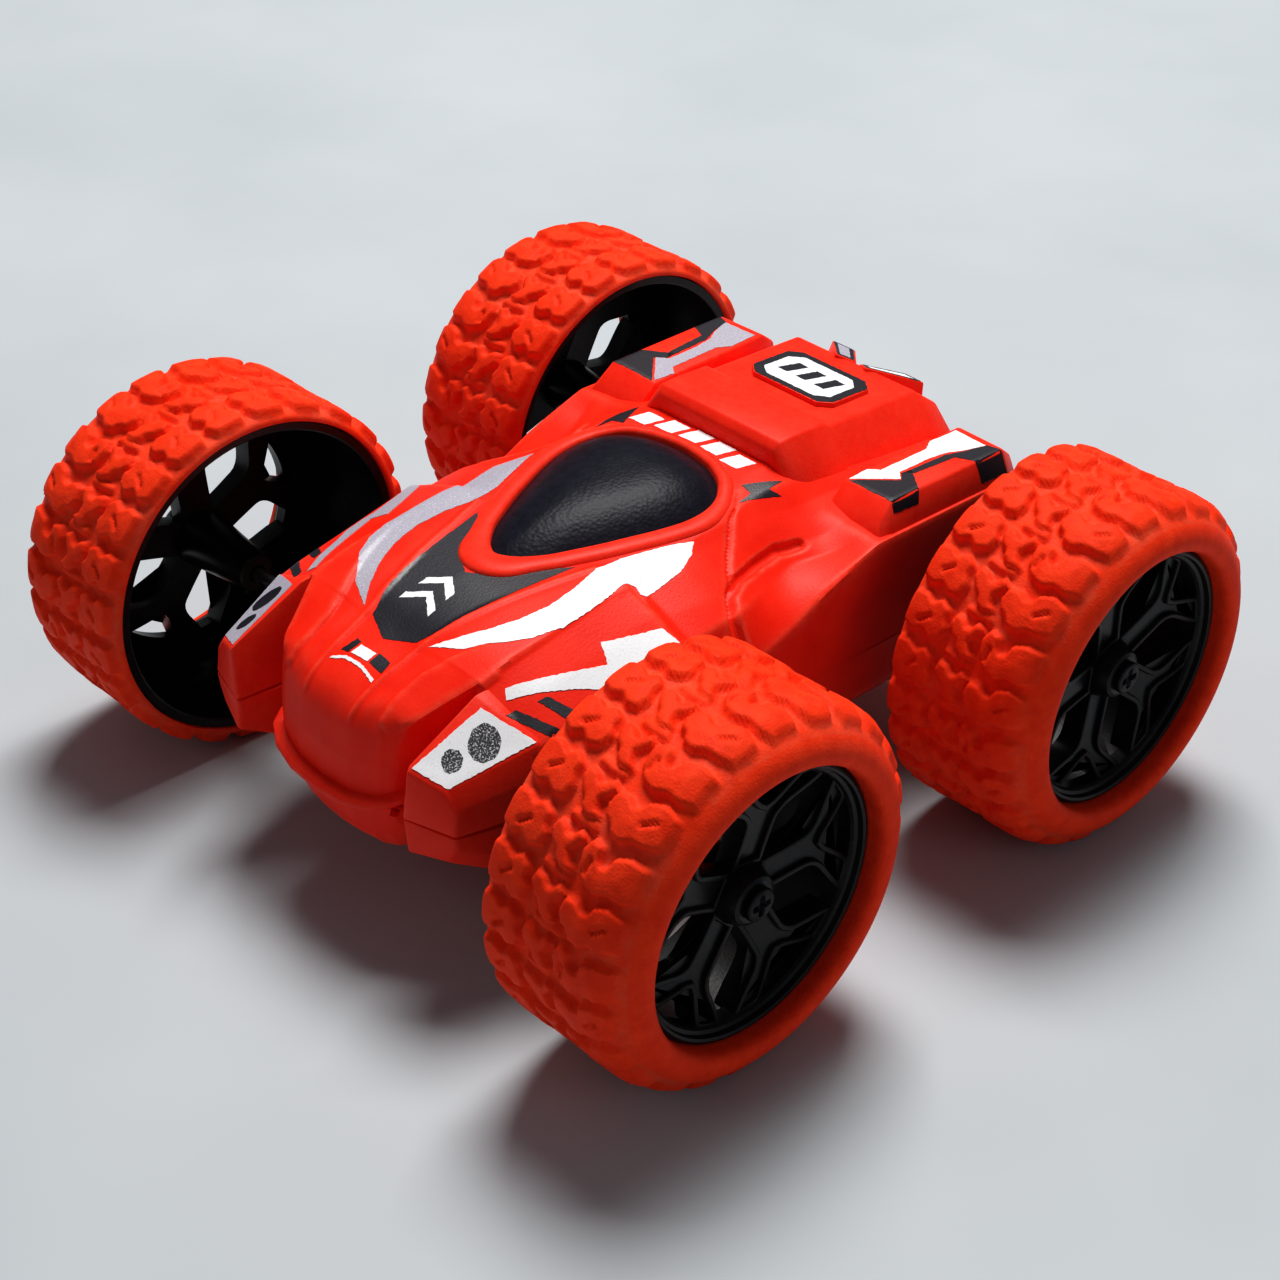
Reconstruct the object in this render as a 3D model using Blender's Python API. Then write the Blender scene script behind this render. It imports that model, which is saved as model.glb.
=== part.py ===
"""Two-sided stunt car: body shells, canopy, four big wheels, and the drive inside.

Frame: metres in Blender, +Z up, front towards -Y, the car's left towards +X. The origin is on the
ground under the middle of the car. Sizes below are in millimetres and are turned into metres by MM.
"""
import math

import bmesh
import bpy
from mathutils import Vector

MM = 0.001
GAP = 0.3                      # air between neighbouring pieces

# wheels
WHEEL_R = 31.0                 # over the tread
WHEEL_HALF_BASE = 42.1         # axle from the car's middle, along Y
WHEEL_TRACK_X = 58.8           # wheel's middle plane from the car's middle
WHEEL_SEGS = 32
SPOKES = 5
SPOKE_TURN = {"front_left": 8, "rear_left": 34, "front_right": 22, "rear_right": 58}   # degrees
BOSS_R = 4.2
AXLE_R = 1.2
BORE_R = 1.5

# body shells
SEAM_Z = 30.0                  # joint of the two shells along the sides
NOSE_SEAM_Z = 26.0             # the joint drops round the nose
WALL = 1.7
BELLY_Z = 14.0
NOSE_CLEAR_X = 17.8            # half width of the space left for the nose in the lower shell

# drive
MODULE = 0.5
PINION_TEETH = 8
COMPOUND_TEETH = 24
COMPOUND_SMALL_TEETH = 8
FINAL_TEETH = 26
FINAL_Y = WHEEL_HALF_BASE
COMPOUND_Y = FINAL_Y - MODULE * (FINAL_TEETH + COMPOUND_SMALL_TEETH) / 2
MOTOR_Y = COMPOUND_Y - MODULE * (COMPOUND_TEETH + PINION_TEETH) / 2
PLATE_X = (25.1, 26.3)
GEAR_A_X = (26.9, 28.7)        # pinion and big compound wheel
GEAR_B_X = (29.1, 31.0)        # small compound wheel and final gear
CASE_X = (26.6, 32.8)
CASE_Y = (20.4, 50.3)
CASE_HALF_H = 8.4
CASE_WALL = 1.2
MOTOR_R = 7.7
MOTOR_X = (3.0, 24.0)

# battery, board, switch, screws
CELL_R = 7.0
CELL_TIP_R = 2.6
CELL_Y = (-45.0, 3.0)
CELL_X = 7.4
CELL_Z = 23.4
DOOR_HALF_X = 17.0
DOOR_Y = (-49.0, 8.0)
DOOR_THICK = 1.4
BOARD_Z = 35.0
SWITCH_Y = 16.0
SWITCH_TRAVEL = 2.0
SHELL_SCREWS = ((14.0, 44.5, 51.0), (24.0, -22.0, 48.4))     # x, y, top of the screw post

# each column of the body's cross-sections: (y, half profile from the middle to the side as x, z)
UPPER_SECTIONS = (
    (-50.0, ((0, 46.0), (6, 45.9), (14, 44.4), (19.5, 44.2), (30.5, 41.0), (32.4, 36), (33, SEAM_Z))),
    (-36.0, ((0, 51.2), (8, 50.8), (16, 49.2), (22, 47.2), (30.5, 43.5), (33, 37), (33.5, SEAM_Z))),
    (-20.0, ((0, 51.6), (10, 51.6), (18, 51.4), (25, 48.8), (31.5, 44.5), (33.5, 37), (34, SEAM_Z))),
    (-3.0, ((0, 53.0), (10, 52.8), (17.3, 52.6), (24, 49.3), (31, 43), (33.5, 37), (34.5, SEAM_Z))),
    (14.0, ((0, 55.0), (10, 54.8), (16, 53.6), (22, 51), (29.5, 46), (34, 38), (35.5, SEAM_Z))),
    (22.0, ((0, 54.8), (12, 54.4), (19, 51), (24, 49.4), (33.2, 48.6), (35, 40), (35.5, SEAM_Z))),
    (50.0, ((0, 52.0), (12, 52), (19, 50), (24, 49.8), (33.4, 49.3), (35, 40), (35.5, SEAM_Z))),
    (59.0, ((0, 49.5), (10, 49.5), (17, 48), (24, 46), (31, 43.5), (33, 38), (33.5, SEAM_Z))),
)
NOSE_SECTIONS = (
    (-64.8, ((0, 36.0), (5, 35.6), (9.3, 34), (11, 31), (11.6, 28.6), (11.8, NOSE_SEAM_Z))),
    (-63.0, ((0, 39.4), (5.2, 39), (9.6, 37.4), (12.2, 33), (12.9, 29), (13.1, NOSE_SEAM_Z))),
    (-60.0, ((0, 42.4), (5.4, 41.9), (10.2, 40.6), (13.2, 35), (14, 30), (14.2, NOSE_SEAM_Z))),
    (-49.0, ((0, 46.2), (6, 46.1), (13, 44.6), (16.8, 38), (17.3, 32), (17.5, NOSE_SEAM_Z))),
)
LOWER_SECTIONS = (
    (-50.0, ((0, BELLY_Z), (18, BELLY_Z), (27, 17), (32, 22.5), (33, SEAM_Z))),
    (-36.0, ((0, BELLY_Z), (22, BELLY_Z), (28.5, 15.5), (33, 21.5), (33.5, SEAM_Z))),
    (-10.0, ((0, BELLY_Z), (24, BELLY_Z), (29, 14.6), (34, 21), (34.3, SEAM_Z))),
    (50.0, ((0, BELLY_Z), (24, BELLY_Z), (29.6, 14.6), (35, 20.4), (35.5, SEAM_Z))),
    (59.0, ((0, 17), (20, 17), (26, 18), (32.5, 24), (33.5, SEAM_Z))),
)
CHIN_SECTIONS = (
    (-63.8, ((0, 18.2), (7, 19), (10.5, 22), (11.5, NOSE_SEAM_Z))),
    (-60.0, ((0, 16.0), (10, 17), (13.4, 22), (14, NOSE_SEAM_Z))),
    (-49.0, ((0, 15.0), (13, 16), (17, 21), (17.5, NOSE_SEAM_Z))),
)
HUMP_SECTIONS = (
    (17.4, ((0, 58.6), (13.0, 58.6), (18.6, 54), (19, 48))),
    (22.3, ((0, 58.8), (13.6, 58.8), (20.4, 50.3), (20.4, 48))),
    (52.0, ((0, 57.2), (12.6, 57.2), (20.0, 49.6), (20, 48))),
    (57.6, ((0, 53.0), (14.6, 52.6), (18.4, 49), (18.4, 48))),
)

# canopy: front tip, widest point and rear edge along Y, half width, and the crown's height
CANOPY_Y = (-31.0, -1.0, 10.8)
CANOPY_HALF_W = 15.2
CANOPY_CROWN = 3.6
CANOPY_WALL = 1.5
CANOPY_RIM_Z = (50.8, 53.6)    # at the front tip and at the rear edge

SIDES = (("left", 1), ("right", -1))


# ---------------------------------------------------------------- tools

def clear_scene():
    for obj in list(bpy.data.objects):
        bpy.data.objects.remove(obj, do_unlink=True)


def make_material(name, colour, roughness, metallic=0.0):
    mat = bpy.data.materials.new(name)
    mat.use_nodes = True
    shader = mat.node_tree.nodes["Principled BSDF"]
    shader.inputs["Base Color"].default_value = (*colour, 1.0)
    shader.inputs["Roughness"].default_value = roughness
    shader.inputs["Metallic"].default_value = metallic
    return mat


def make_object(name, bm, mat=None, parent=None):
    """Closes the books on a mesh in millimetres: metres, normals out, linked to the scene."""
    bmesh.ops.recalc_face_normals(bm, faces=bm.faces)
    if bm.calc_volume(signed=True) < 0:
        bmesh.ops.reverse_faces(bm, faces=bm.faces)
    bmesh.ops.scale(bm, vec=(MM, MM, MM), verts=bm.verts)
    mesh = bpy.data.meshes.new(name)
    bm.to_mesh(mesh)
    bm.free()
    if mat:
        mesh.materials.append(mat)
    mesh.shade_smooth()
    mesh.set_sharp_from_angle(angle=math.radians(35))
    obj = bpy.data.objects.new(name, mesh)
    bpy.context.collection.objects.link(obj)
    if parent:
        obj.parent = parent
        obj.matrix_parent_inverse = parent.matrix_world.inverted()
    return obj


def combine(obj, other, operation):
    """Applies an exact Boolean of other to obj, then removes other."""
    mod = obj.modifiers.new("Boolean", "BOOLEAN")
    mod.operation = operation
    mod.solver = "EXACT"
    mod.object = other
    bpy.context.view_layer.update()
    graph = bpy.context.evaluated_depsgraph_get()
    mesh = bpy.data.meshes.new_from_object(obj.evaluated_get(graph))
    obj.modifiers.clear()
    old = obj.data
    obj.data = mesh
    bpy.data.meshes.remove(old)
    bpy.data.objects.remove(other, do_unlink=True)
    bm = bmesh.new()
    bm.from_mesh(obj.data)
    bmesh.ops.remove_doubles(bm, verts=bm.verts, dist=0.002 * MM)
    bmesh.ops.dissolve_degenerate(bm, edges=bm.edges, dist=0.002 * MM)
    bm.to_mesh(obj.data)
    bm.free()
    return obj


def skin(rings, fan=False):
    """A closed bmesh over a row of rings with the same number of points, capped at both ends.

    With fan set, each cap's triangles meet in its middle, which suits a star-shaped outline.
    """
    bm = bmesh.new()
    rows = [[bm.verts.new(point) for point in ring] for ring in rings]
    count = len(rows[0])
    for row, following in zip(rows, rows[1:]):
        for i in range(count):
            j = (i + 1) % count
            bm.faces.new((row[i], row[j], following[j], following[i]))
    for row in (rows[0], rows[-1]):
        if fan:
            middle = bm.verts.new(sum((v.co for v in row), Vector()) / count)
            for i in range(count):
                bm.faces.new((row[i], row[(i + 1) % count], middle))
        else:
            bm.faces.new(row)
    bm.normal_update()
    bmesh.ops.triangulate(bm, faces=bm.faces)
    return bm


def body_loft(sections, floor_z, inset=0.0):
    """Mirrored cross-sections along Y, closed by a flat face at floor_z."""
    last = len(sections) - 1
    crown_z, seam_z = sections[0][1][0][1], sections[0][1][-1][1]
    down = -1 if crown_z > seam_z else 1
    rings = []
    for k, (y, half) in enumerate(sections):
        y += inset if k == 0 else -inset if k == last else 0.0
        half = [(max(x - inset, 0.0) if x else 0.0, z + down * inset) for x, z in half]
        half[-1] = (half[-1][0], floor_z)
        ring = [(x, y, z) for x, z in half]
        ring += [(-x, y, z) for x, z in reversed(half[1:])]
        rings.append(ring)
    return skin(rings)


def turned(profile, x, y, z, side=1, segs=WHEEL_SEGS, closed=True):
    """Revolves (x, r) points about an axle along X. A closed profile makes a ring, an open one a rod."""
    bm = bmesh.new()
    loops = []
    for px, pr in profile:
        if pr == 0.0:
            loops.append([bm.verts.new((x + side * px, y, z))])
            continue
        turn = [math.tau * i / segs for i in range(segs)]
        loops.append([bm.verts.new((x + side * px, y + pr * math.cos(a), z + pr * math.sin(a)))
                      for a in turn])
    pairs = list(zip(loops, loops[1:]))
    if closed:
        pairs.append((loops[-1], loops[0]))
    for first, second in pairs:
        for i in range(segs):
            j = (i + 1) % segs
            corners = (first[i % len(first)], first[j % len(first)],
                       second[j % len(second)], second[i % len(second)])
            bm.faces.new(list(dict.fromkeys(corners)))
    bm.normal_update()
    bmesh.ops.triangulate(bm, faces=bm.faces)
    return bm


def rod_x(x0, x1, r, y, z, segs=12):
    return turned(((x0, 0.0), (x0, r), (x1, r), (x1, 0.0)), 0, y, z, 1, segs, closed=False)


def rod_z(z0, z1, r, x, y, segs=16):
    rings = []
    for z in (z0, z1):
        rings.append([(x + r * math.cos(math.tau * i / segs), y + r * math.sin(math.tau * i / segs), z)
                      for i in range(segs)])
    return skin(rings)


def block(x, y, z):
    """A box from three (low, high) pairs."""
    ring = [(x[0], y[0]), (x[1], y[0]), (x[1], y[1]), (x[0], y[1])]
    return skin([[(a, b, level) for a, b in ring] for level in z])


def prism_x(outline, x0, x1, fan=False):
    """An outline of (y, z) points pushed along X."""
    return skin([[(x, y, z) for y, z in outline] for x in (x0, x1)], fan)


def cutter(name, bm):
    obj = make_object(name, bm)
    obj.hide_render = True
    obj.display_type = "WIRE"
    return obj


def cut(obj, bm):
    return combine(obj, cutter("cutter", bm), "DIFFERENCE")


def join(obj, bm):
    return combine(obj, cutter("cutter", bm), "UNION")


def mirror_x(sections, side):
    return [[(side * x, y, z) for x, y, z in ring] for ring in sections]


# ---------------------------------------------------------------- body shells

def pod_rings(upper, inset=0.0):
    """The front pod beside the nose: a front ring and a rear ring that ends inside the body."""
    i = inset
    y = -47.0 + 2 * inset
    if upper:
        front = ((19.9 + i, -65.9 + i, SEAM_Z), (20.9 + i, -65.4 + i, 39.3 - i), (27.0 - i, -63.2 + i, 37.2 - i),
                 (29.1 - i, -62.8 + i, 34.6 - i), (29.3 - i, -63.3 + i, SEAM_Z))
        rear = ((17.6 + i, y, SEAM_Z), (19.6 + i, y, 45.2 - i), (30.6 - i, y, 41.6 - i),
                (32.4 - i, y, 36.4 - i), (32.8 - i, y, SEAM_Z))
    else:
        front = ((19.9 + i, -65.9 + i, SEAM_Z), (20.8 + i, -65.2 + i, 24.0 + i), (27.6 - i, -62.6 + i, 24.6 + i),
                 (29.0 - i, -62.9 + i, 27.0 + i), (29.3 - i, -63.3 + i, SEAM_Z))
        rear = ((17.6 + i, y, SEAM_Z), (17.6 + i, y, 16.0 + i), (27.0 - i, y, 17.4 + i),
                (32.0 - i, y, 23.0 + i), (32.8 - i, y, SEAM_Z))
    return front, rear


def shift_floor(rings, level, floor_z):
    return [[(x, y, floor_z if z == level else z) for x, y, z in ring] for ring in rings]


def wing_rings(side):
    """A raised block over the rear corner of the body."""
    rings = []
    for y, low, top, inner, outer in ((21.0, 48.2, 49.2, 24.0, 33.6), (26.0, 48.2, 53.3, 22.4, 31.8),
                                      (51.8, 48.2, 53.1, 23.2, 33.0), (54.6, 46.0, 50.2, 24.0, 32.4)):
        rings.append([(side * (inner - 1.0), y, low), (side * inner, y, top),
                      (side * outer, y, top), (side * (outer + 1.6), y, low)])
    return rings


def canopy_outline(scale=1.0, steps=28):
    """Plan of the canopy: a pointed front and a rounder back, as unit angles round the widest point."""
    front, middle, rear = CANOPY_Y
    points = []
    for i in range(steps):
        a = math.tau * i / steps
        c, s = math.cos(a), math.sin(a)
        length = (rear - middle) if c > 0 else (middle - front)
        power = 0.8 if c > 0 else 1.25
        x = CANOPY_HALF_W * math.copysign(abs(s) ** power, s)
        points.append((x * scale, middle + length * c * scale))
    return points


def canopy_rim_z(y):
    front, _, rear = CANOPY_Y
    low, high = CANOPY_RIM_Z
    return low + (high - low) * (y - front) / (rear - front)


def canopy_mesh(grow=0.0, deep=None):
    """The dome, or with deep set, the straight-sided plug that opens the shell for it."""
    rings = []
    rim = 1.0 + grow / CANOPY_HALF_W
    if deep is not None:
        rings = [[(x, y, level) for x, y in canopy_outline(rim)] for level in deep]
        return skin(rings)
    bm = bmesh.new()
    levels = (1.0, 0.9, 0.72, 0.45)
    upper = []
    lower = []
    for s in levels:
        rise = CANOPY_CROWN * (1 - s ** 2.4)
        upper.append([bm.verts.new((x, y, canopy_rim_z(y) + rise)) for x, y in canopy_outline(s)])
        inner = s * (1 - CANOPY_WALL / CANOPY_HALF_W)
        lower.append([bm.verts.new((x, y, canopy_rim_z(y) + rise - CANOPY_WALL)) for x, y in canopy_outline(inner)])
    middle = CANOPY_Y[1]
    top = bm.verts.new((0, middle, canopy_rim_z(middle) + CANOPY_CROWN))
    under = bm.verts.new((0, middle, canopy_rim_z(middle) + CANOPY_CROWN - CANOPY_WALL))
    count = len(upper[0])
    rows = list(reversed(lower)) + upper
    for first, second in zip(rows, rows[1:]):
        for i in range(count):
            j = (i + 1) % count
            bm.faces.new((first[i], first[j], second[j], second[i]))
    for i in range(count):
        j = (i + 1) % count
        bm.faces.new((upper[-1][i], upper[-1][j], top))
        bm.faces.new((lower[-1][j], lower[-1][i], under))
    bm.normal_update()
    bmesh.ops.triangulate(bm, faces=bm.faces)
    return bm


def make_upper_shell(mat, root):
    lift = GAP / 2
    shell = make_object("upper_shell", body_loft(UPPER_SECTIONS, SEAM_Z + lift), mat, root)
    join(shell, body_loft(NOSE_SECTIONS, NOSE_SEAM_Z + lift))
    for _, side in SIDES:
        rings = shift_floor(pod_rings(True), SEAM_Z, SEAM_Z + lift)
        join(shell, skin(mirror_x(rings, side)))
        join(shell, skin(wing_rings(side)))
    join(shell, body_loft(HUMP_SECTIONS, 48.0))
    cut(shell, body_loft(UPPER_SECTIONS, SEAM_Z - 4, WALL))
    cut(shell, body_loft(NOSE_SECTIONS[1:], NOSE_SEAM_Z - 4, WALL))
    for _, side in SIDES:
        rings = shift_floor(pod_rings(True, WALL), SEAM_Z, SEAM_Z - 4)
        cut(shell, skin(mirror_x(rings, side)))
    cut(shell, canopy_mesh(grow=GAP, deep=(46.0, 60.0)))
    for x, y, top in SHELL_SCREWS:
        for _, side in SIDES:
            join(shell, rod_z(27.0, top, 2.6, side * x, y, 12))
            cut(shell, rod_z(25.0, 36.0, 1.3, side * x, y, 12))
    return shell


def make_lower_shell(mat, root):
    drop = GAP / 2
    shell = make_object("lower_shell", body_loft(LOWER_SECTIONS, SEAM_Z - drop), mat, root)
    join(shell, body_loft(CHIN_SECTIONS, NOSE_SEAM_Z - drop))
    for _, side in SIDES:
        rings = shift_floor(pod_rings(False), SEAM_Z, SEAM_Z - drop)
        join(shell, skin(mirror_x(rings, side)))
    cut(shell, body_loft(LOWER_SECTIONS, SEAM_Z + 4, WALL))
    for _, side in SIDES:
        inner = shift_floor(pod_rings(False, WALL), SEAM_Z, SEAM_Z + 3)
        cut(shell, skin(mirror_x(inner, side)))
    # the space that the upper shell's nose fills down to the chin
    cut(shell, block((-NOSE_CLEAR_X, NOSE_CLEAR_X), (-70.0, -48.0), (NOSE_SEAM_Z - drop, SEAM_Z + 5)))
    # battery opening, switch slot and screw holes in the belly
    clear = GAP
    cut(shell, block((-DOOR_HALF_X - clear, DOOR_HALF_X + clear), (DOOR_Y[0] + 3, DOOR_Y[1] + clear),
                     (BELLY_Z - 5, BELLY_Z + 4)))
    half = (3.0 + SWITCH_TRAVEL) / 2 + clear
    cut(shell, block((-1.6, 1.6), (SWITCH_Y - half, SWITCH_Y + half), (BELLY_Z - 4, BELLY_Z + 4)))
    for x, y, _ in SHELL_SCREWS:
        for _, side in SIDES:
            cut(shell, rod_z(BELLY_Z - 4, BELLY_Z + 5, 1.4, side * x, y, 12))
    return shell


def make_body(mats, root):
    upper = make_upper_shell(mats["red"], root)
    lower = make_lower_shell(mats["red"], root)
    for shell in (upper, lower):
        for y in (-WHEEL_HALF_BASE, WHEEL_HALF_BASE):
            for _, side in SIDES:
                ends = sorted((side * 31.0, side * 44.0))
                cut(shell, rod_x(ends[0], ends[1], 3.7, y, WHEEL_R, 20))
    make_object("canopy", canopy_mesh(), mats["canopy"], root)


# ---------------------------------------------------------------- wheels

TYRE_PROFILE = ((-14.1, 27.9), (9.2, 27.9), (9.2, 22.5), (13.3, 22.5), (14.1, 23.6), (14.1, 25.2),
                (12.8, 28.0), (10.4, 29.9), (6.9, 31.0), (-11.3, 31.0), (-13.4, 30.0), (-14.1, 29.0))
BARREL_PROFILE = ((-13.6, 27.6), (8.9, 27.6), (8.9, 22.2), (10.8, 22.2), (10.8, 20.2), (6.9, 20.2),
                  (6.9, 26.0), (-13.6, 26.0))
SPOKE_X = (6.2, 9.0)
HUB_BOSS_X = (-12.0, 9.6)


def spoke_window(a, side, x, y):
    """The kite-shaped opening between two Y-shaped spokes, as a prism along X."""
    half_pitch = math.pi / SPOKES
    outline = []
    for r, share in ((6.2, 0.0), (13.5, -0.62), (19.4, -0.34), (19.4, 0.34), (13.5, 0.62)):
        b = a + share * half_pitch
        outline.append((y + r * math.cos(b), WHEEL_R + r * math.sin(b)))
    return prism_x(outline, *sorted((x + side * 3, x + side * 12)))


def fork_window(a, side, x, y):
    """The small opening between the two arms of one spoke."""
    outline = []
    for r, turn in ((14.6, 0.0), (19.4, -0.22), (19.4, 0.22)):
        outline.append((y + r * math.cos(a + turn), WHEEL_R + r * math.sin(a + turn)))
    return prism_x(outline, *sorted((x + side * 3, x + side * 12)))


def make_wheel(place, side, y, mats, root):
    """Tyre, hub, axle and hub screw of one wheel; the axle of a front wheel stays in the body."""
    x = side * WHEEL_TRACK_X
    front = y < 0
    pivot = bpy.data.objects.new(f"wheel_{place}", None)
    pivot.location = (x * MM, y * MM, WHEEL_R * MM)
    pivot.parent = root
    bpy.context.collection.objects.link(pivot)
    bpy.context.view_layer.update()
    make_object(f"tyre_{place}", turned(TYRE_PROFILE, x, y, WHEEL_R, side), mats["rubber"], pivot)
    hub = make_object(f"hub_{place}", turned(BARREL_PROFILE, x, y, WHEEL_R, side), mats["hub"], pivot)
    join(hub, turned(((SPOKE_X[0], 0.0), (SPOKE_X[0], 21.0), (SPOKE_X[1], 21.0), (SPOKE_X[1], 0.0)),
                     x, y, WHEEL_R, side, closed=False))
    for i in range(SPOKES):
        spoke = math.radians(SPOKE_TURN[place]) + math.tau * i / SPOKES
        cut(hub, spoke_window(spoke + math.pi / SPOKES, side, x, y))
        cut(hub, fork_window(spoke, side, x, y))
    join(hub, turned(((HUB_BOSS_X[0], 0.0), (HUB_BOSS_X[0], 3.2), (SPOKE_X[0], 5.6), (SPOKE_X[1], 5.6),
                      (HUB_BOSS_X[1], BOSS_R), (HUB_BOSS_X[1], 0.0)), x, y, WHEEL_R, side, 12, closed=False))
    cut(hub, rod_x(x - 20, x + 20, BORE_R, y, WHEEL_R, 12))
    inner_end = 22.5 if front else PLATE_X[0] + 0.2
    ends = sorted((side * inner_end, x + side * 4.0))
    make_object(f"axle_{place}", rod_x(ends[0], ends[1], AXLE_R, y, WHEEL_R, 16), mats["steel"],
                root if front else pivot)
    make_object(f"hub_screw_{place}",
                turned(((4.3, 0.0), (4.3, 1.1), (9.9, 1.1), (9.9, 2.7), (10.9, 2.4), (11.2, 1.2), (11.2, 0.0)),
                       x, y, WHEEL_R, side, 16, closed=False),
                mats["steel"], root if front else pivot)
    return pivot


def make_bush(place, side, y, mats, root):
    """Flanged plastic bush that carries an axle through the body's side."""
    wall_x = 33.4 if y < 0 else 35.5
    start = wall_x - 2.4
    flange = wall_x + 0.5
    profile = ((start, BORE_R), (start, 3.4), (flange, 3.4), (flange, 4.6), (flange + 1.3, 4.6),
               (flange + 4.6, 2.8), (flange + 4.6, BORE_R))
    make_object(f"axle_bush_{place}", turned(profile, 0, y, WHEEL_R, side, 20), mats["grey"], root)


# ---------------------------------------------------------------- drive

def gear_outline(teeth, y, z, start):
    """Tooth outline with slim trapezoid teeth; start is the angle of a tooth's middle."""
    pitch_r = MODULE * teeth / 2
    tip_r = pitch_r + 0.8 * MODULE
    root_r = pitch_r - 1.1 * MODULE
    step = math.tau / teeth
    outline = []
    for i in range(teeth):
        for r, share in ((root_r, -0.30), (tip_r, -0.11), (tip_r, 0.11), (root_r, 0.30)):
            a = start + step * (i + share)
            outline.append((y + r * math.cos(a), z + r * math.sin(a)))
    return outline


def make_gears(place, side, pivot, mats, root):
    """Motor pinion, compound gear on its pin, and the final gear on the rear axle."""
    def span(x):
        return sorted((side * x[0], side * x[1]))

    def carrier(name, y):
        empty = bpy.data.objects.new(name, None)
        empty.location = (0, y * MM, WHEEL_R * MM)
        empty.parent = root
        bpy.context.collection.objects.link(empty)
        bpy.context.view_layer.update()
        return empty

    z = WHEEL_R
    toward_front = math.pi
    final = make_object(f"final_gear_{place}",
                        prism_x(gear_outline(FINAL_TEETH, FINAL_Y, z, toward_front), *span(GEAR_B_X), fan=True),
                        mats["gear"], pivot)
    cut(final, rod_x(*span((20, 40)), BORE_R, FINAL_Y, z, 16))
    motor_axis = carrier(f"motor_axis_{place}", MOTOR_Y)
    compound_axis = carrier(f"compound_axis_{place}", COMPOUND_Y)
    # the small wheel has a gap towards the final gear, and the big one a gap towards the pinion
    small = gear_outline(COMPOUND_SMALL_TEETH, COMPOUND_Y, z, math.pi / COMPOUND_SMALL_TEETH)
    big = gear_outline(COMPOUND_TEETH, COMPOUND_Y, z, toward_front + math.pi / COMPOUND_TEETH)
    compound = make_object(f"compound_gear_{place}", prism_x(big, *span(GEAR_A_X), fan=True), mats["gear"], compound_axis)
    join(compound, prism_x(small, *span((GEAR_A_X[1] - 0.4, GEAR_B_X[1])), fan=True))
    cut(compound, rod_x(*span((20, 40)), 0.9, COMPOUND_Y, z, 12))
    pinion = make_object(f"motor_pinion_{place}", prism_x(gear_outline(PINION_TEETH, MOTOR_Y, z, 0.0),
                                                          *span(GEAR_A_X), fan=True), mats["brass"], motor_axis)
    cut(pinion, rod_x(*span((20, 40)), 0.9, MOTOR_Y, z, 12))
    make_object(f"gear_pin_{place}", rod_x(*span((PLATE_X[0], CASE_X[1] + 0.2)), 0.6, COMPOUND_Y, z, 12),
                mats["steel"], root)


def case_outline(grow=0.0):
    """Outline of the gear case in (y, z): a long box with cut corners."""
    y0, y1 = CASE_Y[0] - grow, CASE_Y[1] + grow
    h = CASE_HALF_H + grow
    z = WHEEL_R
    c = 2.4
    return [(y0, z - h + c), (y0 + c, z - h), (y1 - c, z - h), (y1, z - h + c),
            (y1, z + h - c), (y1 - c, z + h), (y0 + c, z + h), (y0, z + h - c)]


def make_drive(place, side, pivot, mats, root):
    def span(x):
        return sorted((side * x[0], side * x[1]))

    z = WHEEL_R
    plate = make_object(f"gear_plate_{place}", prism_x(case_outline(), *span(PLATE_X)), mats["black"], root)
    for y, r in ((MOTOR_Y, 2.6), (COMPOUND_Y, 0.9), (FINAL_Y, BORE_R)):
        cut(plate, rod_x(*span((20, 30)), r, y, z, 14))
    case = make_object(f"gear_case_{place}", prism_x(case_outline(), *span(CASE_X)), mats["black"], root)
    cut(case, prism_x(case_outline(-CASE_WALL), *span((CASE_X[0] - 2, CASE_X[1] - CASE_WALL))))
    for y, r in ((COMPOUND_Y, 0.9), (FINAL_Y, BORE_R)):
        cut(case, rod_x(*span((20, 40)), r, y, z, 14))
    make_gears(place, side, pivot, mats, root)
    motor = make_object(f"motor_{place}", rod_x(*span(MOTOR_X), MOTOR_R, MOTOR_Y, z, 24), mats["steel"], root)
    join(motor, rod_x(*span((MOTOR_X[1] - 0.5, PLATE_X[0] + 0.4)), 2.2, MOTOR_Y, z, 14))
    join(motor, rod_x(*span((MOTOR_X[1] - 0.5, GEAR_A_X[1])), 0.6, MOTOR_Y, z, 12))


# ---------------------------------------------------------------- electrics and small fixings

def make_front_holders(mats, root):
    """Blocks inside the body that grip the fixed front axles."""
    for place, side in SIDES:
        x = sorted((side * 22.0, side * 29.8))
        holder = make_object(f"front_axle_holder_{place}",
                             block(x, (-WHEEL_HALF_BASE - 4.5, -WHEEL_HALF_BASE + 4.5), (25.0, 36.6)),
                             mats["black"], root)
        cut(holder, rod_x(x[0] - 2, x[1] + 2, BORE_R, -WHEEL_HALF_BASE, WHEEL_R, 14))


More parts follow.
